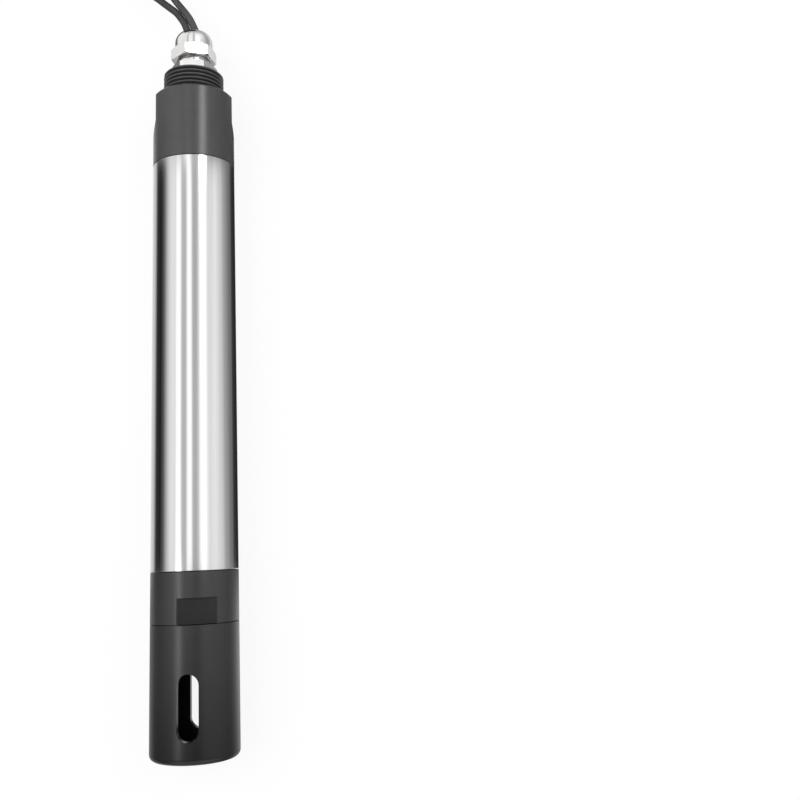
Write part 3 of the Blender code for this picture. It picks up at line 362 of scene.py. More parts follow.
def thread_tree(rows, columns):
    """A threaded sleeve: a grid rolled round the axis, its outer face following a helix."""
    tree = bpy.data.node_groups.new("threaded_sleeve", "GeometryNodeTree")
    tree.interface.new_socket("Geometry", in_out="OUTPUT", socket_type="NodeSocketGeometry")
    for name in THREAD_SIZES:
        tree.interface.new_socket(name, in_out="INPUT", socket_type="NodeSocketFloat")
    tree.interface.new_socket("Material", in_out="INPUT", socket_type="NodeSocketMaterial")
    new, join = tree.nodes.new, tree.links.new
    sizes = new("NodeGroupInput").outputs
    sums = Sums(tree)
    grid = new("GeometryNodeMeshGrid")
    grid.inputs["Size X"].default_value = 1.0
    grid.inputs["Size Y"].default_value = 1.0
    grid.inputs["Vertices X"].default_value = columns + 1
    grid.inputs["Vertices Y"].default_value = rows + 4
    place = new("ShaderNodeSeparateXYZ")
    join(new("GeometryNodeInputPosition").outputs[0], place.inputs[0])
    turn = sums.do("MULTIPLY", sums.do("ADD", place.outputs["X"], 0.5), 2 * math.pi)
    # Rows: the first and the last two close the sleeve along its bore, the rest run up its outside.
    row = sums.do("MULTIPLY", sums.do("ADD", place.outputs["Y"], 0.5), rows + 3.0)
    share = sums.do("DIVIDE", sums.do("SUBTRACT", row, 1.0), float(rows))
    share = sums.do("MINIMUM", sums.do("MAXIMUM", share, 0.0), 1.0)
    share = sums.do("MULTIPLY", share, sums.do("LESS_THAN", row, rows + 2.5))
    along = sums.do("MULTIPLY", share, sizes["Length"])
    outside = sums.do("MULTIPLY", sums.do("GREATER_THAN", row, 0.5), sums.do("LESS_THAN", row, rows + 1.5))
    station = sums.do("ADD", sizes["Start"], along)
    # The ridge is a rounded triangle that comes round once in each pitch.
    winding = sums.do("DIVIDE", sums.do("ADD", station, sizes["Phase"]), sizes["Pitch"])
    winding = sums.do("ADD", winding, sums.do("DIVIDE", turn, 2 * math.pi))
    saw = sums.do("PINGPONG", winding, 0.5)
    ridge = sums.do("SMOOTH_MIN", sums.do("MULTIPLY", saw, 2.4), 1.0, 0.25)
    ridge = sums.do("SMOOTH_MAX", sums.do("SUBTRACT", ridge, 0.12), 0.0, 0.15)
    depth = sums.do("SUBTRACT", sizes["Crest Radius"], sizes["Root Radius"])
    radius = sums.do("ADD", sizes["Root Radius"], sums.do("MULTIPLY", ridge, depth))
    left = sums.do("SUBTRACT", sizes["Length"], along)
    bevelled = sums.do("SUBTRACT", sums.do("ADD", sizes["Crest Radius"], left), sizes["End Chamfer"])
    radius = sums.do("MINIMUM", radius, bevelled)
    inside = sums.do("SUBTRACT", 1.0, outside)
    radius = sums.do(
        "ADD", sums.do("MULTIPLY", radius, outside), sums.do("MULTIPLY", sizes["Bore Radius"], inside)
    )
    spot = new("ShaderNodeCombineXYZ")
    join(sums.do("MULTIPLY", radius, sums.do("SINE", turn)), spot.inputs["X"])
    join(sums.do("SUBTRACT", station, PROBE_LENGTH / 2 * MM), spot.inputs["Y"])
    lifted = sums.do("ADD", sums.do("MULTIPLY", radius, sums.do("COSINE", turn)), AXIS_HEIGHT * MM)
    join(lifted, spot.inputs["Z"])
    rolled = new("GeometryNodeSetPosition")
    join(grid.outputs["Mesh"], rolled.inputs["Geometry"])
    join(spot.outputs[0], rolled.inputs["Position"])
    welded = new("GeometryNodeMergeByDistance")
    welded.inputs["Distance"].default_value = 0.001 * MM
    join(rolled.outputs[0], welded.inputs["Geometry"])
    real = new("GeometryNodeRealizeInstances")
    join(welded.outputs[0], real.inputs[0])
    coat = new("GeometryNodeSetMaterial")
    join(real.outputs[0], coat.inputs["Geometry"])
    join(sizes["Material"], coat.inputs["Material"])
    join(coat.outputs[0], new("NodeGroupOutput").inputs[0])
    return tree


def threaded_sleeve(name, rows, columns, material, sizes):
    """A closed sleeve with a thread on its outside, as a plain mesh."""
    piece = link(name, bpy.data.meshes.new(name))
    step = piece.modifiers.new("thread", "NODES")
    step.node_group = thread_tree(rows, columns)
    for socket in step.node_group.interface.items_tree:
        if socket.in_out == "INPUT" and socket.name in sizes:
            step[socket.identifier] = sizes[socket.name]
        elif socket.in_out == "INPUT" and socket.name == "Material":
            step[socket.identifier] = material
    settled(piece)
    turned = bmesh.new()
    turned.from_mesh(piece.data)
    bmesh.ops.recalc_face_normals(turned, faces=turned.faces)
    turned.to_mesh(piece.data)
    turned.free()
    return smoothed(piece, 40)


# Materials


def shader_group(name, inputs, outputs):
    tree = bpy.data.node_groups.new(name, "ShaderNodeTree")
    for name, value in inputs.items():
        socket = tree.interface.new_socket(name, in_out="INPUT", socket_type="NodeSocketFloat")
        socket.default_value = value
    for name in outputs:
        tree.interface.new_socket(name, in_out="OUTPUT", socket_type="NodeSocketFloat")
    return tree, tree.nodes.new("NodeGroupInput").outputs, tree.nodes.new("NodeGroupOutput").inputs


def noise(tree, vector, scale, detail=3.0, roughness=0.55):
    node = tree.nodes.new("ShaderNodeTexNoise")
    tree.links.new(vector, node.inputs["Vector"])
    if isinstance(scale, (int, float)):
        node.inputs["Scale"].default_value = scale
    else:
        tree.links.new(scale, node.inputs["Scale"])
    node.inputs["Detail"].default_value = detail
    node.inputs["Roughness"].default_value = roughness
    return node.outputs["Fac"]


def stretched_place(tree, across, along):
    """Object coordinates, stretched so that a pattern is long along the probe or round it."""
    mapping = tree.nodes.new("ShaderNodeMapping")
    mapping.inputs["Scale"].default_value = (across, along, across)
    tree.links.new(tree.nodes.new("ShaderNodeTexCoord").outputs["Object"], mapping.inputs["Vector"])
    return mapping.outputs[0]


def lengthwise_grain():
    """Fine lines along the probe with faint broad streaks, as a drawn and polished tube has."""
    tree, inputs, outputs = shader_group(
        "lengthwise_grain", {"Fine Scale": 5000.0, "Broad Scale": 400.0}, ["Grain", "Streaks"]
    )
    place = stretched_place(tree, 1.0, 0.012)
    tree.links.new(noise(tree, place, inputs["Fine Scale"], 2.0), outputs["Grain"])
    tree.links.new(noise(tree, place, inputs["Broad Scale"], 4.0), outputs["Streaks"])
    return tree


def turning_marks():
    """Rings left by a lathe tool, with a soft mottle."""
    tree, inputs, outputs = shader_group(
        "turning_marks", {"Ring Scale": 2600.0, "Mottle Scale": 160.0}, ["Rings", "Mottle"]
    )
    rings = stretched_place(tree, 0.01, 1.0)
    even = stretched_place(tree, 1.0, 1.0)
    tree.links.new(noise(tree, rings, inputs["Ring Scale"], 2.0), outputs["Rings"])
    tree.links.new(noise(tree, even, inputs["Mottle Scale"], 5.0, 0.6), outputs["Mottle"])
    return tree


def fine_grit():
    """A small even grain, for moulded, cast and rubbed surfaces."""
    tree, inputs, outputs = shader_group(
        "fine_grit", {"Grit Scale": 3000.0, "Patch Scale": 120.0}, ["Grit", "Patch"]
    )
    even = stretched_place(tree, 1.0, 1.0)
    tree.links.new(noise(tree, even, inputs["Grit Scale"], 3.0), outputs["Grit"])
    tree.links.new(noise(tree, even, inputs["Patch Scale"], 4.0), outputs["Patch"])
    return tree


def remap(tree, value, low, high, start=0.3, end=0.7):
    node = tree.nodes.new("ShaderNodeMapRange")
    tree.links.new(value, node.inputs["Value"])
    node.inputs["From Min"].default_value = start
    node.inputs["From Max"].default_value = end
    node.inputs["To Min"].default_value = low
    node.inputs["To Max"].default_value = high
    return node.outputs["Result"]


def tinted(tree, value, dark, light):
    """A colour between two tints, by a value."""
    mix = tree.nodes.new("ShaderNodeMix")
    mix.data_type = "RGBA"
    tree.links.new(value, mix.inputs["Factor"])
    mix.inputs["A"].default_value = (*dark, 1)
    mix.inputs["B"].default_value = (*light, 1)
    return mix.outputs["Result"]


def bump(tree, height, distance, strength=1.0):
    node = tree.nodes.new("ShaderNodeBump")
    node.inputs["Strength"].default_value = strength
    node.inputs["Distance"].default_value = distance
    tree.links.new(height, node.inputs["Height"])
    return node.outputs["Normal"]


SCALES = {
    "lengthwise_grain": ("Fine Scale", "Broad Scale"),
    "turning_marks": ("Ring Scale", "Mottle Scale"),
    "fine_grit": ("Grit Scale", "Patch Scale"),
}


def surfaced(name, group, dark, light, rough, depth, fine, broad):
    """A material whose fine pattern varies its gloss and relief, and whose broad one varies its tone."""
    made = bpy.data.materials.new(name)
    made.use_nodes = True
    tree = made.node_tree
    effect = tree.nodes.new("ShaderNodeGroup")
    effect.node_tree = group
    for socket, scale in zip(SCALES[group.name], (fine, broad)):
        effect.inputs[socket].default_value = scale
    first, second = effect.outputs
    shader = tree.nodes["Principled BSDF"]
    tree.links.new(tinted(tree, remap(tree, second, 0, 1), dark, light), shader.inputs["Base Color"])
    tree.links.new(remap(tree, first, rough[0], rough[1]), shader.inputs["Roughness"])
    tree.links.new(bump(tree, first, depth * MM), shader.inputs["Normal"])
    return made, shader


def metal(name, group, dark, light, rough, depth, fine=5000.0, broad=400.0):
    made, shader = surfaced(name, group, dark, light, rough, depth, fine, broad)
    shader.inputs["Metallic"].default_value = 1.0
    return made


def plastic(name, group, dark, light, rough, depth, fine=2600.0, broad=160.0, sheen=0.0):
    """A plastic, a rubber or a weave."""
    made, shader = surfaced(name, group, dark, light, rough, depth, fine, broad)
    shader.inputs["Sheen Weight"].default_value = sheen
    return made


def tint_by(made, share):
    """Multiplies the material's colour by a value."""
    tree = made.node_tree
    colour = tree.nodes["Principled BSDF"].inputs["Base Color"]
    shade = tree.nodes.new("ShaderNodeMix")
    shade.data_type = "RGBA"
    shade.blend_type = "MULTIPLY"
    shade.inputs["Factor"].default_value = 1.0
    tree.links.new(colour.links[0].from_socket, shade.inputs["A"])
    tree.links.new(share, shade.inputs["B"])
    tree.links.new(shade.outputs["Result"], colour)


def object_place(tree):
    """The parts of the Object coordinates."""
    place = tree.nodes.new("ShaderNodeSeparateXYZ")
    tree.links.new(tree.nodes.new("ShaderNodeTexCoord").outputs["Object"], place.inputs[0])
    return place.outputs


def painted_shade_to_end(made, low, high, least):
    """Painted shade: the colour falls off towards the sensing end, between two stations."""
    tree = made.node_tree
    along = object_place(tree)["Y"]
    tint_by(made, remap(tree, along, least, 1, at(0, low, 0).y, at(0, high, 0).y))


def painted_shade_inwards(made, inner, outer, least):
    """Painted shade: the colour falls off from the outer to the inner radius, in a thread's foot or on a
    milled flat.
    """
    tree = made.node_tree
    place = object_place(tree)
    sums = Sums(tree)
    rise = sums.do("SUBTRACT", place["Z"], AXIS_HEIGHT * MM)
    across = sums.do("MULTIPLY", place["X"], place["X"])
    square = sums.do("ADD", across, sums.do("MULTIPLY", rise, rise))
    tint_by(made, remap(tree, sums.do("SQRT", square), least, 1, inner * MM, outer * MM))


def grey(value):
    return (value, value, value)


# Two tones, the least and most roughness, the relief in millimetres, the pattern's two scales and the sheen.
GRITTY = {
    "block_resin": (grey(0.06), grey(0.075), (0.45, 0.6), 0.01, 2400.0, 140.0),
    "rod_graphite": (grey(0.055), grey(0.09), (0.42, 0.6), 0.012, 3500.0, 500.0),
    "seal_rubber": (grey(0.012), grey(0.02), (0.5, 0.65), 0.008, 2600.0, 200.0),
    "signal_jacket": (grey(0.028), grey(0.04), (0.5, 0.62), 0.01, 1600.0, 90.0),
    "vent_jacket": (grey(0.04), grey(0.055), (0.48, 0.6), 0.008, 1600.0, 90.0),
    "board_green": ((0.012, 0.06, 0.03), (0.02, 0.1, 0.045), (0.35, 0.5), 0.01, 900.0, 300.0),
    "chip_black": (grey(0.022), grey(0.035), (0.45, 0.6), 0.01, 3000.0, 500.0),
    "moulded_white": (grey(0.62), grey(0.7), (0.4, 0.5), 0.008, 1500.0, 120.0),
    "wire_jacket": ((0.33, 0.07, 0.055), (0.42, 0.09, 0.07), (0.35, 0.45), 0.004, 1500.0, 200.0),
    "strap_weave": (grey(0.02), grey(0.035), (0.7, 0.85), 0.05, 1800.0, 500.0, 0.3),
}
TURNED_METAL = {
    "sensor_steel": (grey(0.58), grey(0.70), (0.18, 0.3), 0.004, 2200.0, 200.0),
    "gland_nickel": ((0.80, 0.79, 0.78), (0.88, 0.875, 0.87), (0.1, 0.17), 0.002, 1800.0, 300.0),
    "tinned_metal": ((0.62, 0.61, 0.59), (0.74, 0.73, 0.71), (0.2, 0.35), 0.004, 2600.0, 400.0),
}
TURNED_PLASTIC = {
    "head_acetal": (grey(0.04), grey(0.046), (0.25, 0.262), 0.0004),
    # The thread is the head's own acetal, given lighter tones than the head: painted light.
    "thread_painted_light_and_shade": (grey(0.085), grey(0.095), (0.3, 0.34), 0.002),
    "collar_acetal": (grey(0.023), grey(0.027), (0.25, 0.265), 0.0005),
    # A copy of the collar's acetal for the collar body, with painted shade on its wrench flats.
    "collar_painted_shade": (grey(0.023), grey(0.027), (0.25, 0.265), 0.0005),
    "guard_acetal": (grey(0.018), grey(0.021), (0.275, 0.283), 0.0003),
}


def make_materials():
    marks, grit = turning_marks(), fine_grit()
    tube = metal("tube_steel", lengthwise_grain(), grey(0.68), grey(0.75), (0.06, 0.11), 0.0015)
    made = {"tube_steel": tube}
    made |= {name: metal(name, marks, *look) for name, look in TURNED_METAL.items()}
    made |= {name: plastic(name, marks, *look) for name, look in TURNED_PLASTIC.items()}
    made |= {name: plastic(name, grit, *look) for name, look in GRITTY.items()}
    # Painted shade in the thread's roots, between its crests.
    painted_shade_inwards(made["thread_painted_light_and_shade"], 15.6, 16.6, 0.2)
    # Painted shade on the collar's wrench flats and on every face nearer the axis.
    painted_shade_inwards(made["collar_painted_shade"], 21.75, 21.95, 0.45)
    # Painted shade, darker towards the guard's closed end.
    painted_shade_to_end(made["guard_acetal"], 6, 50, 0.45)
    return made


# The probe's turned pieces


def spigot(shoulder, direction, body=20.2):
    """The hidden plug inside the tube, from its shoulder to its tip."""
    groove = shoulder + direction * 5.0
    tip = shoulder + direction * SPIGOT_LENGTH
    return [
        (body, shoulder), (body, groove - direction * 1.6), (17.3, groove - direction * 1.6),
        (17.3, groove + direction * 1.6), (body, groove + direction * 1.6), (body, tip - direction * 0.8),
        (body - 0.8, tip),
    ]


def make_tube(materials):
    low, high = TUBE_START + GAP / 2, HEAD_START - GAP / 2
    outline = [(BODY_RADIUS, high), (BODY_RADIUS, low), (TUBE_BORE_RADIUS, low), (TUBE_BORE_RADIUS, high)]
    tube = lathe("steel_tube", eased(outline, 0.25), 192)
    finished(tube, materials["tube_steel"], nodes=["housing_tube"])


def flat_cutter(clock, near, low, high, runout):
    """What is milled away outside one wrench flat, with the ramp where the mill ran out."""
    far = BODY_RADIUS + 3
    ramp = runout * (far - near) / (BODY_RADIUS - near)
    points = [(near, high), (near, low), (far, low - ramp), (far, high)]
    return prism("flat_cutter", scaled(points), -BODY_RADIUS * MM, BODY_RADIUS * MM, across_axis(clock))


def make_head(materials):
    start = HEAD_START + GAP / 2
    cavity = 15.0
    outline = [
        (15.3, NECK_START - 0.4, 0), (15.3, NECK_START, 0), (BODY_RADIUS - 1.2, NECK_START, 0.15),
        (BODY_RADIUS, NECK_START - 1.2, 0.15), (BODY_RADIUS, start, 0.2),
        *[(r, s, 0) for r, s in spigot(start, -1)],
        (cavity, start - SPIGOT_LENGTH, 0), (cavity, start + 26, 0), (NECK_BORE_RADIUS, start + 29.5, 0),
        (NECK_BORE_RADIUS, NECK_START - 0.4, 0),
    ]
    head = lathe("head_body", eased(outline, BODY_EASE), 160)
    low, high = NECK_START - HEAD_FLAT_LENGTH, NECK_START + 2
    flats = [flat_cutter(clock, HEAD_FLAT_REACH, low, high, HEAD_FLAT_RUNOUT) for clock in HEAD_FLAT_CLOCKS]
    carved(head, flats, edge=BODY_EASE)
    finished(head, materials["head_acetal"], nodes=["head_cap"])
    thread = threaded_sleeve(
        "head_thread", 66, 144, materials["thread_painted_light_and_shade"],
        {
            "Start": (NECK_START - 0.3) * MM, "Length": (NECK_END - NECK_START + 0.3) * MM,
            "Crest Radius": 16.7 * MM, "Root Radius": 15.0 * MM, "Bore Radius": NECK_BORE_RADIUS * MM,
            "Pitch": 2.24 * MM, "End Chamfer": 1.0 * MM, "Phase": -0.16 * MM,
        },
    )
    finished(thread, materials["thread_painted_light_and_shade"])


def hex_keeper(across_flats, low, high, clock):
    """A hexagonal prism along the axis, with a corner at the clock angle."""
    corner = across_flats / math.sqrt(3)
    points = []
    for k in range(6):
        turn = math.radians(clock - 90 + 60 * k)
        points.append((corner * math.cos(turn), corner * math.sin(turn)))
    return prism("hex_keeper", scaled(points), low * MM, high * MM, along_axis())


def make_gland(materials):
    corner = GLAND_HEX / math.sqrt(3)
    lower = NECK_END + GAP
    thread_top = NUT_START + 6.5
    seal_start = SEAL_END - 13
    body_outline = [
        (GLAND_BORE_RADIUS, thread_top, 0), (GLAND_THREAD_RADIUS, thread_top, 0.2),
        (GLAND_THREAD_RADIUS, GLAND_HEX_TOP, 0.15), (10.75, GLAND_HEX_TOP, 0.1),
        (corner, GLAND_HEX_TOP - 1.29, 0.1), (corner, lower, 0.1), (10.65, lower, 0),
        (10.65, lower + 1.8, 0), (8.55, lower + 1.8, 0), (8.55, lower, 0), (7.7, lower, 0),
        (7.7, lower - 10, 0), (5.1, lower - 10, 0), (5.1, seal_start - GAP, 0),
        (GLAND_BORE_RADIUS, seal_start - GAP, 0),
    ]
    body = lathe("gland_base", eased(body_outline, 0.15), 120)
    keeper = hex_keeper(GLAND_HEX, lower - 15, PROBE_LENGTH, GLAND_HEX_CLOCK)
    carved(body, [keeper], "INTERSECT", edge=0.18)
    finished(body, materials["gland_nickel"], nodes=["gland_body"])
    corner = NUT_HEX / math.sqrt(3)
    dome = []
    for i in range(13):
        turn = math.radians(90 - 90 * i / 12)
        rise = (PROBE_LENGTH - NUT_DOME_START) * math.sin(turn)
        dome.append((5.5 + 4.9 * math.cos(turn), NUT_DOME_START + rise, 0))
    rise = (corner - NUT_BARREL_RADIUS) * math.tan(math.radians(30))
    nut_outline = [
        (NUT_MOUTH_RADIUS, PROBE_LENGTH - 1.7, 0.2), (NUT_MOUTH_RADIUS, PROBE_LENGTH - 0.2, 0.3), *dome[1:],
        (NUT_BARREL_RADIUS, NUT_BARREL_START + rise, 0.12), (corner, NUT_BARREL_START, 0.12),
        (corner, NUT_START + 0.55, 0.12), (11.75, NUT_START, 0.1), (NUT_THREAD_RADIUS, NUT_START, 0.1),
        (NUT_THREAD_RADIUS, thread_top + GAP, 0), (GLAND_BORE_RADIUS, thread_top + GAP, 0),
        (GLAND_BORE_RADIUS, SEAL_END - 2.7, 0), (NUT_MOUTH_RADIUS, SEAL_END + 0.9, 0.3),
    ]
    nut = lathe("gland_clamp_nut", eased(nut_outline, 0.15), 120)
    keeper = hex_keeper(NUT_HEX, NUT_START - 5, PROBE_LENGTH + 5, NUT_HEX_CLOCK)
    carved(nut, [keeper], "INTERSECT", edge=0.18)
    finished(nut, materials["gland_nickel"], nodes=["gland_nut"])


def window_cutter(low, high):
    """What is milled away right through the skirt to leave two prongs."""
    far = BODY_RADIUS + 2
    points = [(-far, low), (far, low), (far, high), (-far, high)]
    half = WINDOW_HALF_WIDTH * MM
    return prism("window", scaled(points), -half, half, across_axis(COLLAR_CLOCK))


def make_collar(materials):
    face = COLLAR_START + GAP / 2
    shoulder = TUBE_START - GAP / 2
    bore = 15.0
    outline = [
        (bore, shoulder + SPIGOT_LENGTH, 0), *[(r, s, 0) for r, s in reversed(spigot(shoulder, 1))],
        (BODY_RADIUS, shoulder, 0.2), (BODY_RADIUS, face, 0.2), (20.65, face, 0), (20.65, face - 2.5, 0.1),
        (19.9, face - 2.9, 0), (19.9, face - 4, 0), (SKIRT_BORE_RADIUS, face - 4, 0),
        (SKIRT_BORE_RADIUS, BLOCK_SEAT, 0), (bore, BLOCK_SEAT, 0),
    ]
    collar = lathe("collar_body", eased(outline, BODY_EASE), 160)
    flats = []
    for clock in (COLLAR_CLOCK, COLLAR_CLOCK + 180):
        near, low, high = COLLAR_FLAT_REACH, face - 2, face + COLLAR_FLAT_HEIGHT
        points = [(near, low), (CUTTER_REACH, low), (CUTTER_REACH, high), (near, high)]
        flats.append(
            prism("flat", scaled(points), -BODY_RADIUS * MM, BODY_RADIUS * MM, across_axis(clock))
        )
    carved(collar, [*flats, window_cutter(face - 6, face)], edge=0.18)
    # The collar body's material carries painted shade on its flats.
    finished(collar, materials["collar_painted_shade"], nodes=["sensor_collar"])
    prongs = threaded_sleeve(
        "threaded_prongs", 150, 160, materials["collar_acetal"],
        {
            "Start": (face - SKIRT_LENGTH) * MM, "Length": 14.2 * MM, "Crest Radius": 20.5 * MM,
            "Root Radius": 19.85 * MM, "Bore Radius": SKIRT_BORE_RADIUS * MM, "Pitch": 1.5 * MM,
            "End Chamfer": 0.0, "Phase": 0.2 * MM,
        },
    )
    carved(prongs, [window_cutter(40, face)], edge=0)
    finished(prongs, materials["collar_acetal"])


def slot_cutter(clock):
    """A round-ended bar through the guard from side to side."""
    points = []
    for middle, start in SLOT_ENDS:
        for k in range(25):
            turn = math.radians(start + 180 * k / 24)
            points.append((SLOT_RADIUS * math.cos(turn), middle + SLOT_RADIUS * math.sin(turn)))
    upright = Matrix(((0, 0, 1, 0), (0, 1, 0, 0), (-1, 0, 0, 0), (0, 0, 0, 1)))
    place = across_axis(clock) @ upright
    return prism("slot_cutter", scaled(points), -CUTTER_REACH * MM, CUTTER_REACH * MM, place)


def make_guard(materials):
    mouth = COLLAR_START - GAP / 2
    fillet = []
    for i in range(9):
        turn = math.radians(-90 * i / 8)
        out = BODY_RADIUS - GUARD_FILLET + GUARD_FILLET * math.cos(turn)
        fillet.append((out, GUARD_FILLET + GUARD_FILLET * math.sin(turn), 0))
    outline = [
        (21.45, mouth, 0.1), (BODY_RADIUS, mouth, 0.15), *fillet, (GUARD_HOLE_RADIUS, 0, 0.4),
        (GUARD_HOLE_RADIUS, GUARD_END_WALL, 0.4), (SKIRT_BORE_RADIUS, GUARD_END_WALL, 1.2),
        (SKIRT_BORE_RADIUS, mouth - SKIRT_LENGTH, 0.15), (20.8, mouth - SKIRT_LENGTH, 0),
        (20.8, mouth - 2.8, 0), (20.95, mouth - 2.5, 0), (20.95, mouth - 0.5, 0),
    ]
    guard = lathe("guard_body", eased(outline, BODY_EASE), 160)
    carved(guard, [slot_cutter(SLOT_CLOCK)], edge=0.3, edge_angle=40)
    finished(guard, materials["guard_acetal"], body="guard", nodes=["guard_cap"])


# What the guard protects


def off_axis(clock, radius):
    """(x, height) from the probe's axis."""
    return (radius * math.sin(math.radians(clock)), radius * math.cos(math.radians(clock)))


RECESS = off_axis(143, 4.4)
RECESS_RADIUS = 12.2
RECESS_DEPTH = 13.3
CELL_DEPTH = 5
WAVES = 5
WAVE_HEIGHT = 0.5
WAVED_WIDTH = 5.7
FLAT_CENTRE_RADIUS = 2.5
# Each rod's clock angle, distance from the axis, radius, hole depth, length past the block, eased edge,
# material and slot.
RODS = {
    "electrode_upper": (-17, 13.2, 3.0, 13.3, 6.5, 0.5, "rod_graphite", "graphite"),
    "electrode_left": (-90, 13.2, 3.0, 13.3, 6.5, 0.5, "rod_graphite", "graphite"),
    "temperature_pin": (-135, 14.9, 1.9, 11.3, 6, 0.9, "sensor_steel", "satin_steel"),
}


def bore_cutter(radius, low, high, centre, steps=72):
    return lathe("bore_cutter", [(0, high), (radius, high), (radius, low), (0, low)], steps, centre)


def make_sensing_end(materials):
    back = BLOCK_SEAT - GAP
    block_outline = [(0, back), (17.7, back), (17.7, COLLAR_START, 0.3), (0, COLLAR_START)]
    block = lathe("sensor_block", eased(block_outline, 0.1), 144)
    mouth = COLLAR_START - 2
    cutters = [bore_cutter(RECESS_RADIUS, mouth, COLLAR_START + RECESS_DEPTH, RECESS)]
    for clock, ring, radius, depth, *_ in RODS.values():
        cutters.append(bore_cutter(radius + GAP, mouth, COLLAR_START + depth, off_axis(clock, ring), 48))
    carved(block, cutters, edge=0.2, edge_angle=50)
    finished(block, materials["block_resin"], nodes=["sensing_block"])
    face = COLLAR_START + CELL_DEPTH
    cell = [(0, face + 8), (10.4, face + 8), (10.4, face), (8.5, face), (8.5, face + 1.9), (0, face + 1.9)]
    finished(
        lathe("cell_cup", eased(cell, 0.2), 96, RECESS), materials["sensor_steel"], nodes=["pressure_cell"],
    )
    finished(
        lathe("corrugated_diaphragm", diaphragm(), 96, RECESS), materials["sensor_steel"],
        nodes=["pressure_diaphragm"],
    )
    section = []
    for k in range(16):
        turn = 2 * math.pi * k / 16
        section.append((11.3 + 0.6 * math.cos(turn), face + 1.2 + 0.6 * math.sin(turn)))
    finished(
        lathe("cell_seal", section, 96, RECESS), materials["seal_rubber"], nodes=["cell_oring"],
    )
    for name, (clock, ring, radius, depth, length, ease, finish, slot) in RODS.items():
        tip = COLLAR_START - length
        end = COLLAR_START + depth - GAP
        outline = eased([(0, end), (radius, end, 0.1), (radius, tip, ease), (0, tip)], 0.3, 5)
        rod = lathe(name + "_rod", outline, 64, off_axis(clock, ring))
        finished(rod, materials[finish], nodes=[name])


def diaphragm():
    """Five rings pressed into a thin disc with a flat centre."""
    wave = [(0.0, 0.0)]
    for i in range(61):
        share = i / 60
        lift = (1 - math.cos(2 * math.pi * WAVES * share)) / 2
        wave.append((FLAT_CENTRE_RADIUS + WAVED_WIDTH * share, WAVE_HEIGHT * lift))
    back = [(r, COLLAR_START + 6.1 + lift) for r, lift in wave]
    front = [(r, COLLAR_START + 5.6 + lift) for r, lift in wave]
    return back + front[::-1]


# Cords


def smooth_path(points, per_span):
    """A Catmull-Rom curve through the points."""
    knots = [Vector(p) for p in points]
    ends = [knots[0] * 2 - knots[1], *knots, knots[-1] * 2 - knots[-2]]
    path = []
    for before, start, end, after in zip(ends, ends[1:], ends[2:], ends[3:]):
        for step in range(per_span):
            t = step / per_span
            path.append(
                0.5 * (
                    2 * start + (end - before) * t + (2 * before - 5 * start + 4 * end - after) * t**2
                    + (3 * start - before - 3 * end + after) * t**3
                )
            )
    return [*path, knots[-1]]


def ease_between(t):
    t = min(1.0, max(0.0, t))
    return t * t * (3 - 2 * t)


def coil_path(centre, entry):
    """Clockwise turns from the bottom layer's outer turn: inwards, up, outwards, and so on to the top."""
    turns = COIL_COLUMNS * COIL_LAYERS
    middle = at(centre[0], centre[1], 0)
    spots = []
    for n in range(turns):
        layer, step = divmod(n, COIL_COLUMNS)
        column = step if layer % 2 == 0 else COIL_COLUMNS - 1 - step
        height = COIL_BOTTOM + COIL_PITCH / 2 + layer * COIL_PITCH
        spots.append((COIL_OUTER_TURN - column * COIL_PITCH, height))
    path = []
    total = turns * 360 - (COIL_LEFT_AT - entry) % 360
    count = int(total / COIL_STEP)
    for k in range(count + 1):
        gone = total * k / count
        n = min(turns - 1, int(gone // 360))
        share = ease_between((gone - n * 360 - (360 - COIL_CHANGE)) / COIL_CHANGE)
        radius, height = spots[n]
        if n + 1 < turns:
            radius += (spots[n + 1][0] - radius) * share
            height += (spots[n + 1][1] - height) * share
        turn = math.radians(entry - gone)
        path.append(middle + Vector((radius * math.cos(turn), radius * math.sin(turn), height)) * MM)
    return path


def tail_path(centre, end_height):
    """Up from the last turn onto the coil, and round on top of it."""
    middle = at(centre[0], centre[1], 0)
    start_height = COIL_TOP - COIL_PITCH / 2
    low = COIL_TOP + CORD_DIAMETER / 2 + GAP
    path = []
    for k in range(1, 25):
        angle = COIL_LEFT_AT + (TAIL_END - COIL_LEFT_AT) * k / 24
        climb = ease_between((COIL_LEFT_AT - angle) / (COIL_LEFT_AT - TAIL_START))
        radius = COIL_OUTER_TURN + (TAIL_RADIUS - COIL_OUTER_TURN) * climb
        height = start_height + (low - start_height) * climb
        share = (TAIL_START - angle) / (TAIL_START - TAIL_END)
        if share > 0:
            height = low + (end_height - low) * (1 - math.cos(math.pi * share)) / 2
        turn = math.radians(angle)
        path.append(middle + Vector((radius * math.cos(turn), radius * math.sin(turn), height)) * MM)
    return path


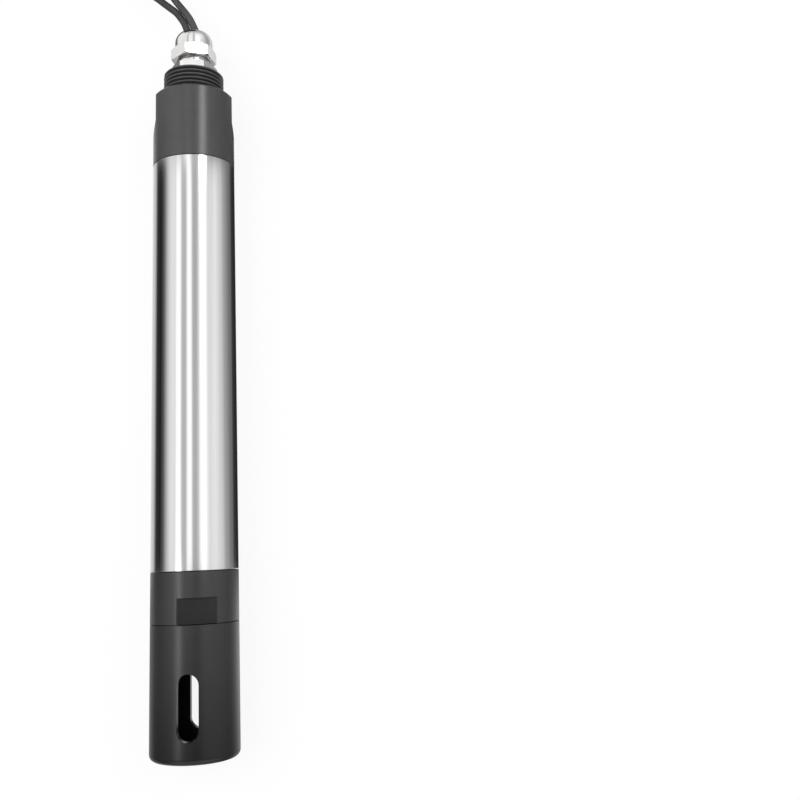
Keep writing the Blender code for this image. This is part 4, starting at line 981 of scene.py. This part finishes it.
def cord_curve(name, route, side, centre, entry, end_height):
    """The whole cord as one curve: from inside the gland to its far end on top of its coil."""
    start = [
        at(side * 2.15, SEAL_END + 0.3, AXIS_HEIGHT),
        at(side * 2.2, SEAL_END + 4.3, AXIS_HEIGHT),
    ]
    lead = smooth_path([*start, *[at(*p) for p in route]], 4)
    path = [*lead, *coil_path(centre, entry), *tail_path(centre, end_height)]
    kept = [path[0]]
    for point in path[1:]:
        if (point - kept[-1]).length > 0.8 * MM:
            kept.append(point)
    curve = bpy.data.curves.new(name, "CURVE")
    curve.dimensions = "3D"
    curve.bevel_depth = CORD_DIAMETER / 2 * MM
    curve.bevel_resolution = 5
    curve.use_fill_caps = True
    spline = curve.splines.new("POLY")
    spline.points.add(len(kept) - 1)
    for spline_point, point in zip(spline.points, kept):
        spline_point.co = (*point, 1)
    piece = bpy.data.objects.new(name, curve)
    bpy.context.scene.collection.objects.link(piece)
    print(name, "is", round(sum((b - a).length for a, b in zip(kept, kept[1:])), 3), "m long")
    return piece


def dressed(name, material):
    """A CAD piece that keeps its shape and gets its finish."""
    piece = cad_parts[name]
    piece.data.materials.clear()
    piece.data.materials.append(material)
    piece.data.shade_smooth()
    piece.data.set_sharp_from_angle(angle=math.radians(32))


def make_cords(materials):
    signal = cord_curve(
        "signal_cord", SIGNAL_ROUTE, -1, SIGNAL_COIL_CENTRE, SIGNAL_COIL_ENTRY, COIL_TOP + 2 + GAP
    )
    vent = cord_curve("vent_cord", VENT_ROUTE, 1, VENT_COIL_CENTRE, VENT_COIL_ENTRY, COIL_TOP + 5 + GAP)
    signal.data.materials.append(materials["signal_jacket"])
    vent.data.materials.append(materials["vent_jacket"])
    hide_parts("signal_cable", "signal_coil", "signal_cable_tail")
    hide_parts("vent_tube", "vent_coil", "vent_tube_tail")
    for piece in (signal, vent):
        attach(piece, "probe")


# The CAD pieces that keep their shape


FINISHES = {
    "seal_rubber": ("head_oring", "collar_oring", "gland_oring", "gland_seal", "cable_end_sleeve"),
    "block_resin": ("potting_plug",),
    "moulded_white": (
        "board_carrier_front", "board_carrier_rear", "sensor_connector", "cable_terminal", "vent_line",
        "vent_filter",
    ),
    "board_green": ("circuit_board",),
    "chip_black": (
        "processor_chip", "converter_chip", "transceiver_chip", "isolation_transformer", "power_inductor",
    ),
    "tinned_metal": (
        "filter_capacitor_input", "filter_capacitor_output", "end_ferrule_power", "end_ferrule_ground",
        "end_ferrule_data",
    ),
    "wire_jacket": (
        "cable_core_power", "cable_core_ground", "cable_core_data", "electrode_lead_upper",
        "electrode_lead_left", "temperature_lead_signal", "temperature_lead_return", "end_core_power",
        "end_core_ground", "end_core_data",
    ),
    "signal_jacket": ("signal_cable_inner",),
    "vent_jacket": ("vent_tube_inner",),
    "strap_weave": (
        "signal_coil_strap_right", "signal_coil_strap_left", "vent_coil_strap_right", "vent_coil_strap_left",
    ),
}


def dress_cad_pieces(materials):
    for finish, names in FINISHES.items():
        for name in names:
            dressed(name, materials[finish])


# Light

# The studio's levels round the probe: a clock angle of the reflected ray and a level at each.
TUBE_BANDS = [
    (-180, 1.1), (-150, 1.1), (-125, 0.85), (-116, 0.42), (-110, 0.06), (-91, 0.02), (-88, 0.05),
    (-81, 0.12), (-77, 0.2), (-72, 0.47), (-67, 0.76), (-60, 1.08), (-50, 1.3), (-40, 1.28), (-37, 1.8),
    (-27, 1.8), (-24, 1.2), (-21, 0.8), (-12, 0.76), (-9, 1.2), (-6, 1.75), (3, 1.7), (6, 1.0),
    (9, 0.72), (17, 0.74), (21, 0.95), (26, 1.6), (30, 1.9), (41, 1.9), (46, 1.4), (52, 1.2),
    (68, 1.35), (76, 1.25), (90, 0.98), (100, 0.62), (110, 0.48), (117, 0.36), (124, 0.26), (131, 0.24),
    (137, 0.08), (148, 0.04), (172, 0.03), (178, 0.08), (180, 1.1),
]
GLAND_BANDS = [
    (-180, 0.5), (-150, 0.6), (-135, 0.3), (-124, 0.15), (-114, 0.15), (-107, 0.9), (-101, 1.25),
    (-60, 1.2), (-32, 1.2), (-28, 0.5), (-24, 0.5), (-20, 1.25), (4, 1.3), (9, 0.6), (15, 0.6),
    (19, 1.3), (60, 1.25), (75, 1.0), (90, 0.65), (105, 0.45), (115, 0.55), (128, 0.6), (136, 1.0),
    (155, 1.1), (165, 0.5), (175, 0.2), (180, 0.4),
]
HEAD_BANDS = [
    (-180, 1.0), (-150, 1.0), (-125, 0.8), (-112, 0.4), (-90, 0.4), (-75, 0.7), (-60, 1.0), (-20, 1.1),
    (-12, 1.7), (-2, 1.7), (4, 0.9), (24, 0.8), (31, 18.0), (41, 18.0), (47, 0.7), (58, 0.35),
    (125, 0.25), (140, 0.2), (172, 0.1), (180, 1.0),
]
FOOT_BANDS = [
    (-180, 0.4), (-150, 0.5), (-125, 0.6), (-112, 0.3), (-90, 0.35), (-75, 0.6), (-60, 0.8), (-40, 1.1),
    (-34, 9.0), (-28, 9.0), (-20, 0.9), (-10, 0.6), (5, 0.4), (10, 0.1), (26, 0.1), (32, 0.7),
    (43, 1.0), (60, 1.0), (80, 0.9), (112, 0.6), (128, 1.2), (150, 1.6), (170, 1.2), (180, 0.4),
]
GUARD_BANDS = [
    (-180, 0.3), (-150, 0.7), (-125, 0.5), (-112, 0.15), (-75, 0.2), (-40, 0.25), (-34, 0.3),
    (-28, 0.3), (-20, 0.2), (10, 0.08), (26, 0.1), (43, 0.4), (60, 0.45), (80, 0.45), (112, 0.2),
    (128, 0.3), (150, 0.8), (170, 0.8), (180, 0.3),
]
# Where each list takes over from the one before: by how much of the reflected ray runs along the probe.
PLACES = (
    (HEAD_BANDS, 0.374, 0.384), (GLAND_BANDS, 0.449, 0.459), (FOOT_BANDS, -0.018, -0.042),
    (GUARD_BANDS, -0.1, -0.17), (TUBE_BANDS, -0.5, -0.66),
)
TOP_LEVEL = 20.0
END_LEVEL = 0.6
PLAIN_LEVEL = 0.75
PAPER_GLOW = 0.9
LAMPS = {"key": ((-0.5, 0.1, 1.0), 9), "fill": ((0.8, 0.3, 0.9), 6)}


def curve_of(tree, points, value):
    """A level looked up in a curve over the full turn of clock angles."""
    node = tree.nodes.new("ShaderNodeFloatCurve")
    curve = node.mapping.curves[0]
    for angle, level in points[1:-1]:
        curve.points.new((angle + 180) / 360, level / TOP_LEVEL)
    curve.points[0].location = (0, points[0][1] / TOP_LEVEL)
    curve.points[-1].location = (1, points[-1][1] / TOP_LEVEL)
    for point in curve.points:
        point.handle_type = "VECTOR"
    node.mapping.update()
    tree.links.new(value, node.inputs["Value"])
    return Sums(tree).do("MULTIPLY", node.outputs[0], TOP_LEVEL)


def chosen(tree, switch, usual, special):
    """A mix that is the usual shader, and the special one where the switch is on."""
    mix = tree.nodes.new("ShaderNodeMixShader")
    tree.links.new(switch, mix.inputs[0])
    tree.links.new(usual.outputs[0], mix.inputs[1])
    tree.links.new(special.outputs[0], mix.inputs[2])
    return mix


def make_world():
    """Pale panels and dark gaps along the probe for glossy rays, and plain light for the rest."""
    world = bpy.data.worlds.new("studio")
    bpy.context.scene.world = world
    world.use_nodes = True
    tree = world.node_tree
    tree.nodes.clear()
    new, join = tree.nodes.new, tree.links.new
    direction = new("ShaderNodeSeparateXYZ")
    join(new("ShaderNodeTexCoord").outputs["Generated"], direction.inputs[0])
    sums = Sums(tree)
    clock = sums.do("ARCTAN2", direction.outputs["X"], direction.outputs["Z"])
    share = sums.do("ADD", sums.do("DIVIDE", clock, 2 * math.pi), 0.5)
    along = direction.outputs["Y"]
    level = curve_of(tree, TUBE_BANDS, share)
    for bands, start, end in PLACES:
        if start < end:
            weight = remap(tree, along, 0, 1, start, end)
        else:
            weight = remap(tree, along, 1, 0, end, start)
        change = sums.do("SUBTRACT", curve_of(tree, bands, share), level)
        level = sums.do("ADD", level, sums.do("MULTIPLY", change, weight))
    endwise = sums.do("ABSOLUTE", along)
    fade = new("ShaderNodeMapRange")
    fade.inputs["From Min"].default_value = 0.75
    fade.inputs["From Max"].default_value = 0.97
    join(endwise, fade.inputs["Value"])
    blend = new("ShaderNodeMix")
    join(fade.outputs["Result"], blend.inputs["Factor"])
    join(level, blend.inputs["A"])
    blend.inputs["B"].default_value = END_LEVEL
    shine = new("ShaderNodeBackground")
    join(blend.outputs["Result"], shine.inputs["Strength"])
    plain = new("ShaderNodeBackground")
    plain.inputs["Strength"].default_value = PLAIN_LEVEL
    paper = new("ShaderNodeBackground")
    paper.inputs["Color"].default_value = (1, 1, 1, 1)
    paper.inputs["Strength"].default_value = 1.0
    kind = new("ShaderNodeLightPath").outputs
    lit = chosen(tree, kind["Is Glossy Ray"], plain, shine)
    seen = chosen(tree, kind["Is Camera Ray"], lit, paper)
    join(seen.outputs[0], new("ShaderNodeOutputWorld").inputs["Surface"])


def make_lamp(name, place, power):
    """A soft lamp that looks at the middle of the object and isn't seen in its shine."""
    lamp = bpy.data.lights.new(name, "AREA")
    lamp.shape = "RECTANGLE"
    lamp.size, lamp.size_y = 0.7, 0.9
    lamp.energy = power
    piece = bpy.data.objects.new(name, lamp)
    piece.visible_glossy = False
    piece.location = place
    piece.rotation_euler = (Vector((0, 0, 0.02)) - Vector(place)).to_track_quat("-Z", "Y").to_euler()
    bpy.context.scene.collection.objects.link(piece)


def make_floor():
    """Pale paper that keeps the object's shadow; glossy rays pass through it to the studio."""
    shape = bmesh.new()
    bmesh.ops.create_grid(shape, x_segments=1, y_segments=1, size=6.0)
    mesh = bpy.data.meshes.new("floor")
    shape.to_mesh(mesh)
    shape.free()
    floor = link("floor", mesh)
    made = bpy.data.materials.new("white_paper")
    made.use_nodes = True
    tree = made.node_tree
    shader = tree.nodes["Principled BSDF"]
    shader.inputs["Base Color"].default_value = (0.8, 0.8, 0.8, 1)
    shader.inputs["Roughness"].default_value = 0.9
    shader.inputs["Specular IOR Level"].default_value = 0.0
    glow = tree.nodes.new("ShaderNodeEmission")
    kind = tree.nodes.new("ShaderNodeLightPath").outputs
    share = Sums(tree).do("MULTIPLY", kind["Is Camera Ray"], PAPER_GLOW)
    mixed = chosen(tree, share, shader, glow)
    clear = tree.nodes.new("ShaderNodeBsdfTransparent")
    see_through = chosen(tree, kind["Is Glossy Ray"], mixed, clear)
    tree.links.new(see_through.outputs[0], tree.nodes["Material Output"].inputs["Surface"])
    floor.data.materials.append(made)


def make_light():
    make_world()
    for name, (place, power) in LAMPS.items():
        make_lamp(name, place, power)
    make_floor()
    bpy.context.scene.view_settings.view_transform = "Standard"


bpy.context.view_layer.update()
set_camera()
finishes = make_materials()
make_cords(finishes)
make_tube(finishes)
make_head(finishes)
make_gland(finishes)
make_collar(finishes)
make_guard(finishes)
make_sensing_end(finishes)
dress_cad_pieces(finishes)
make_light()
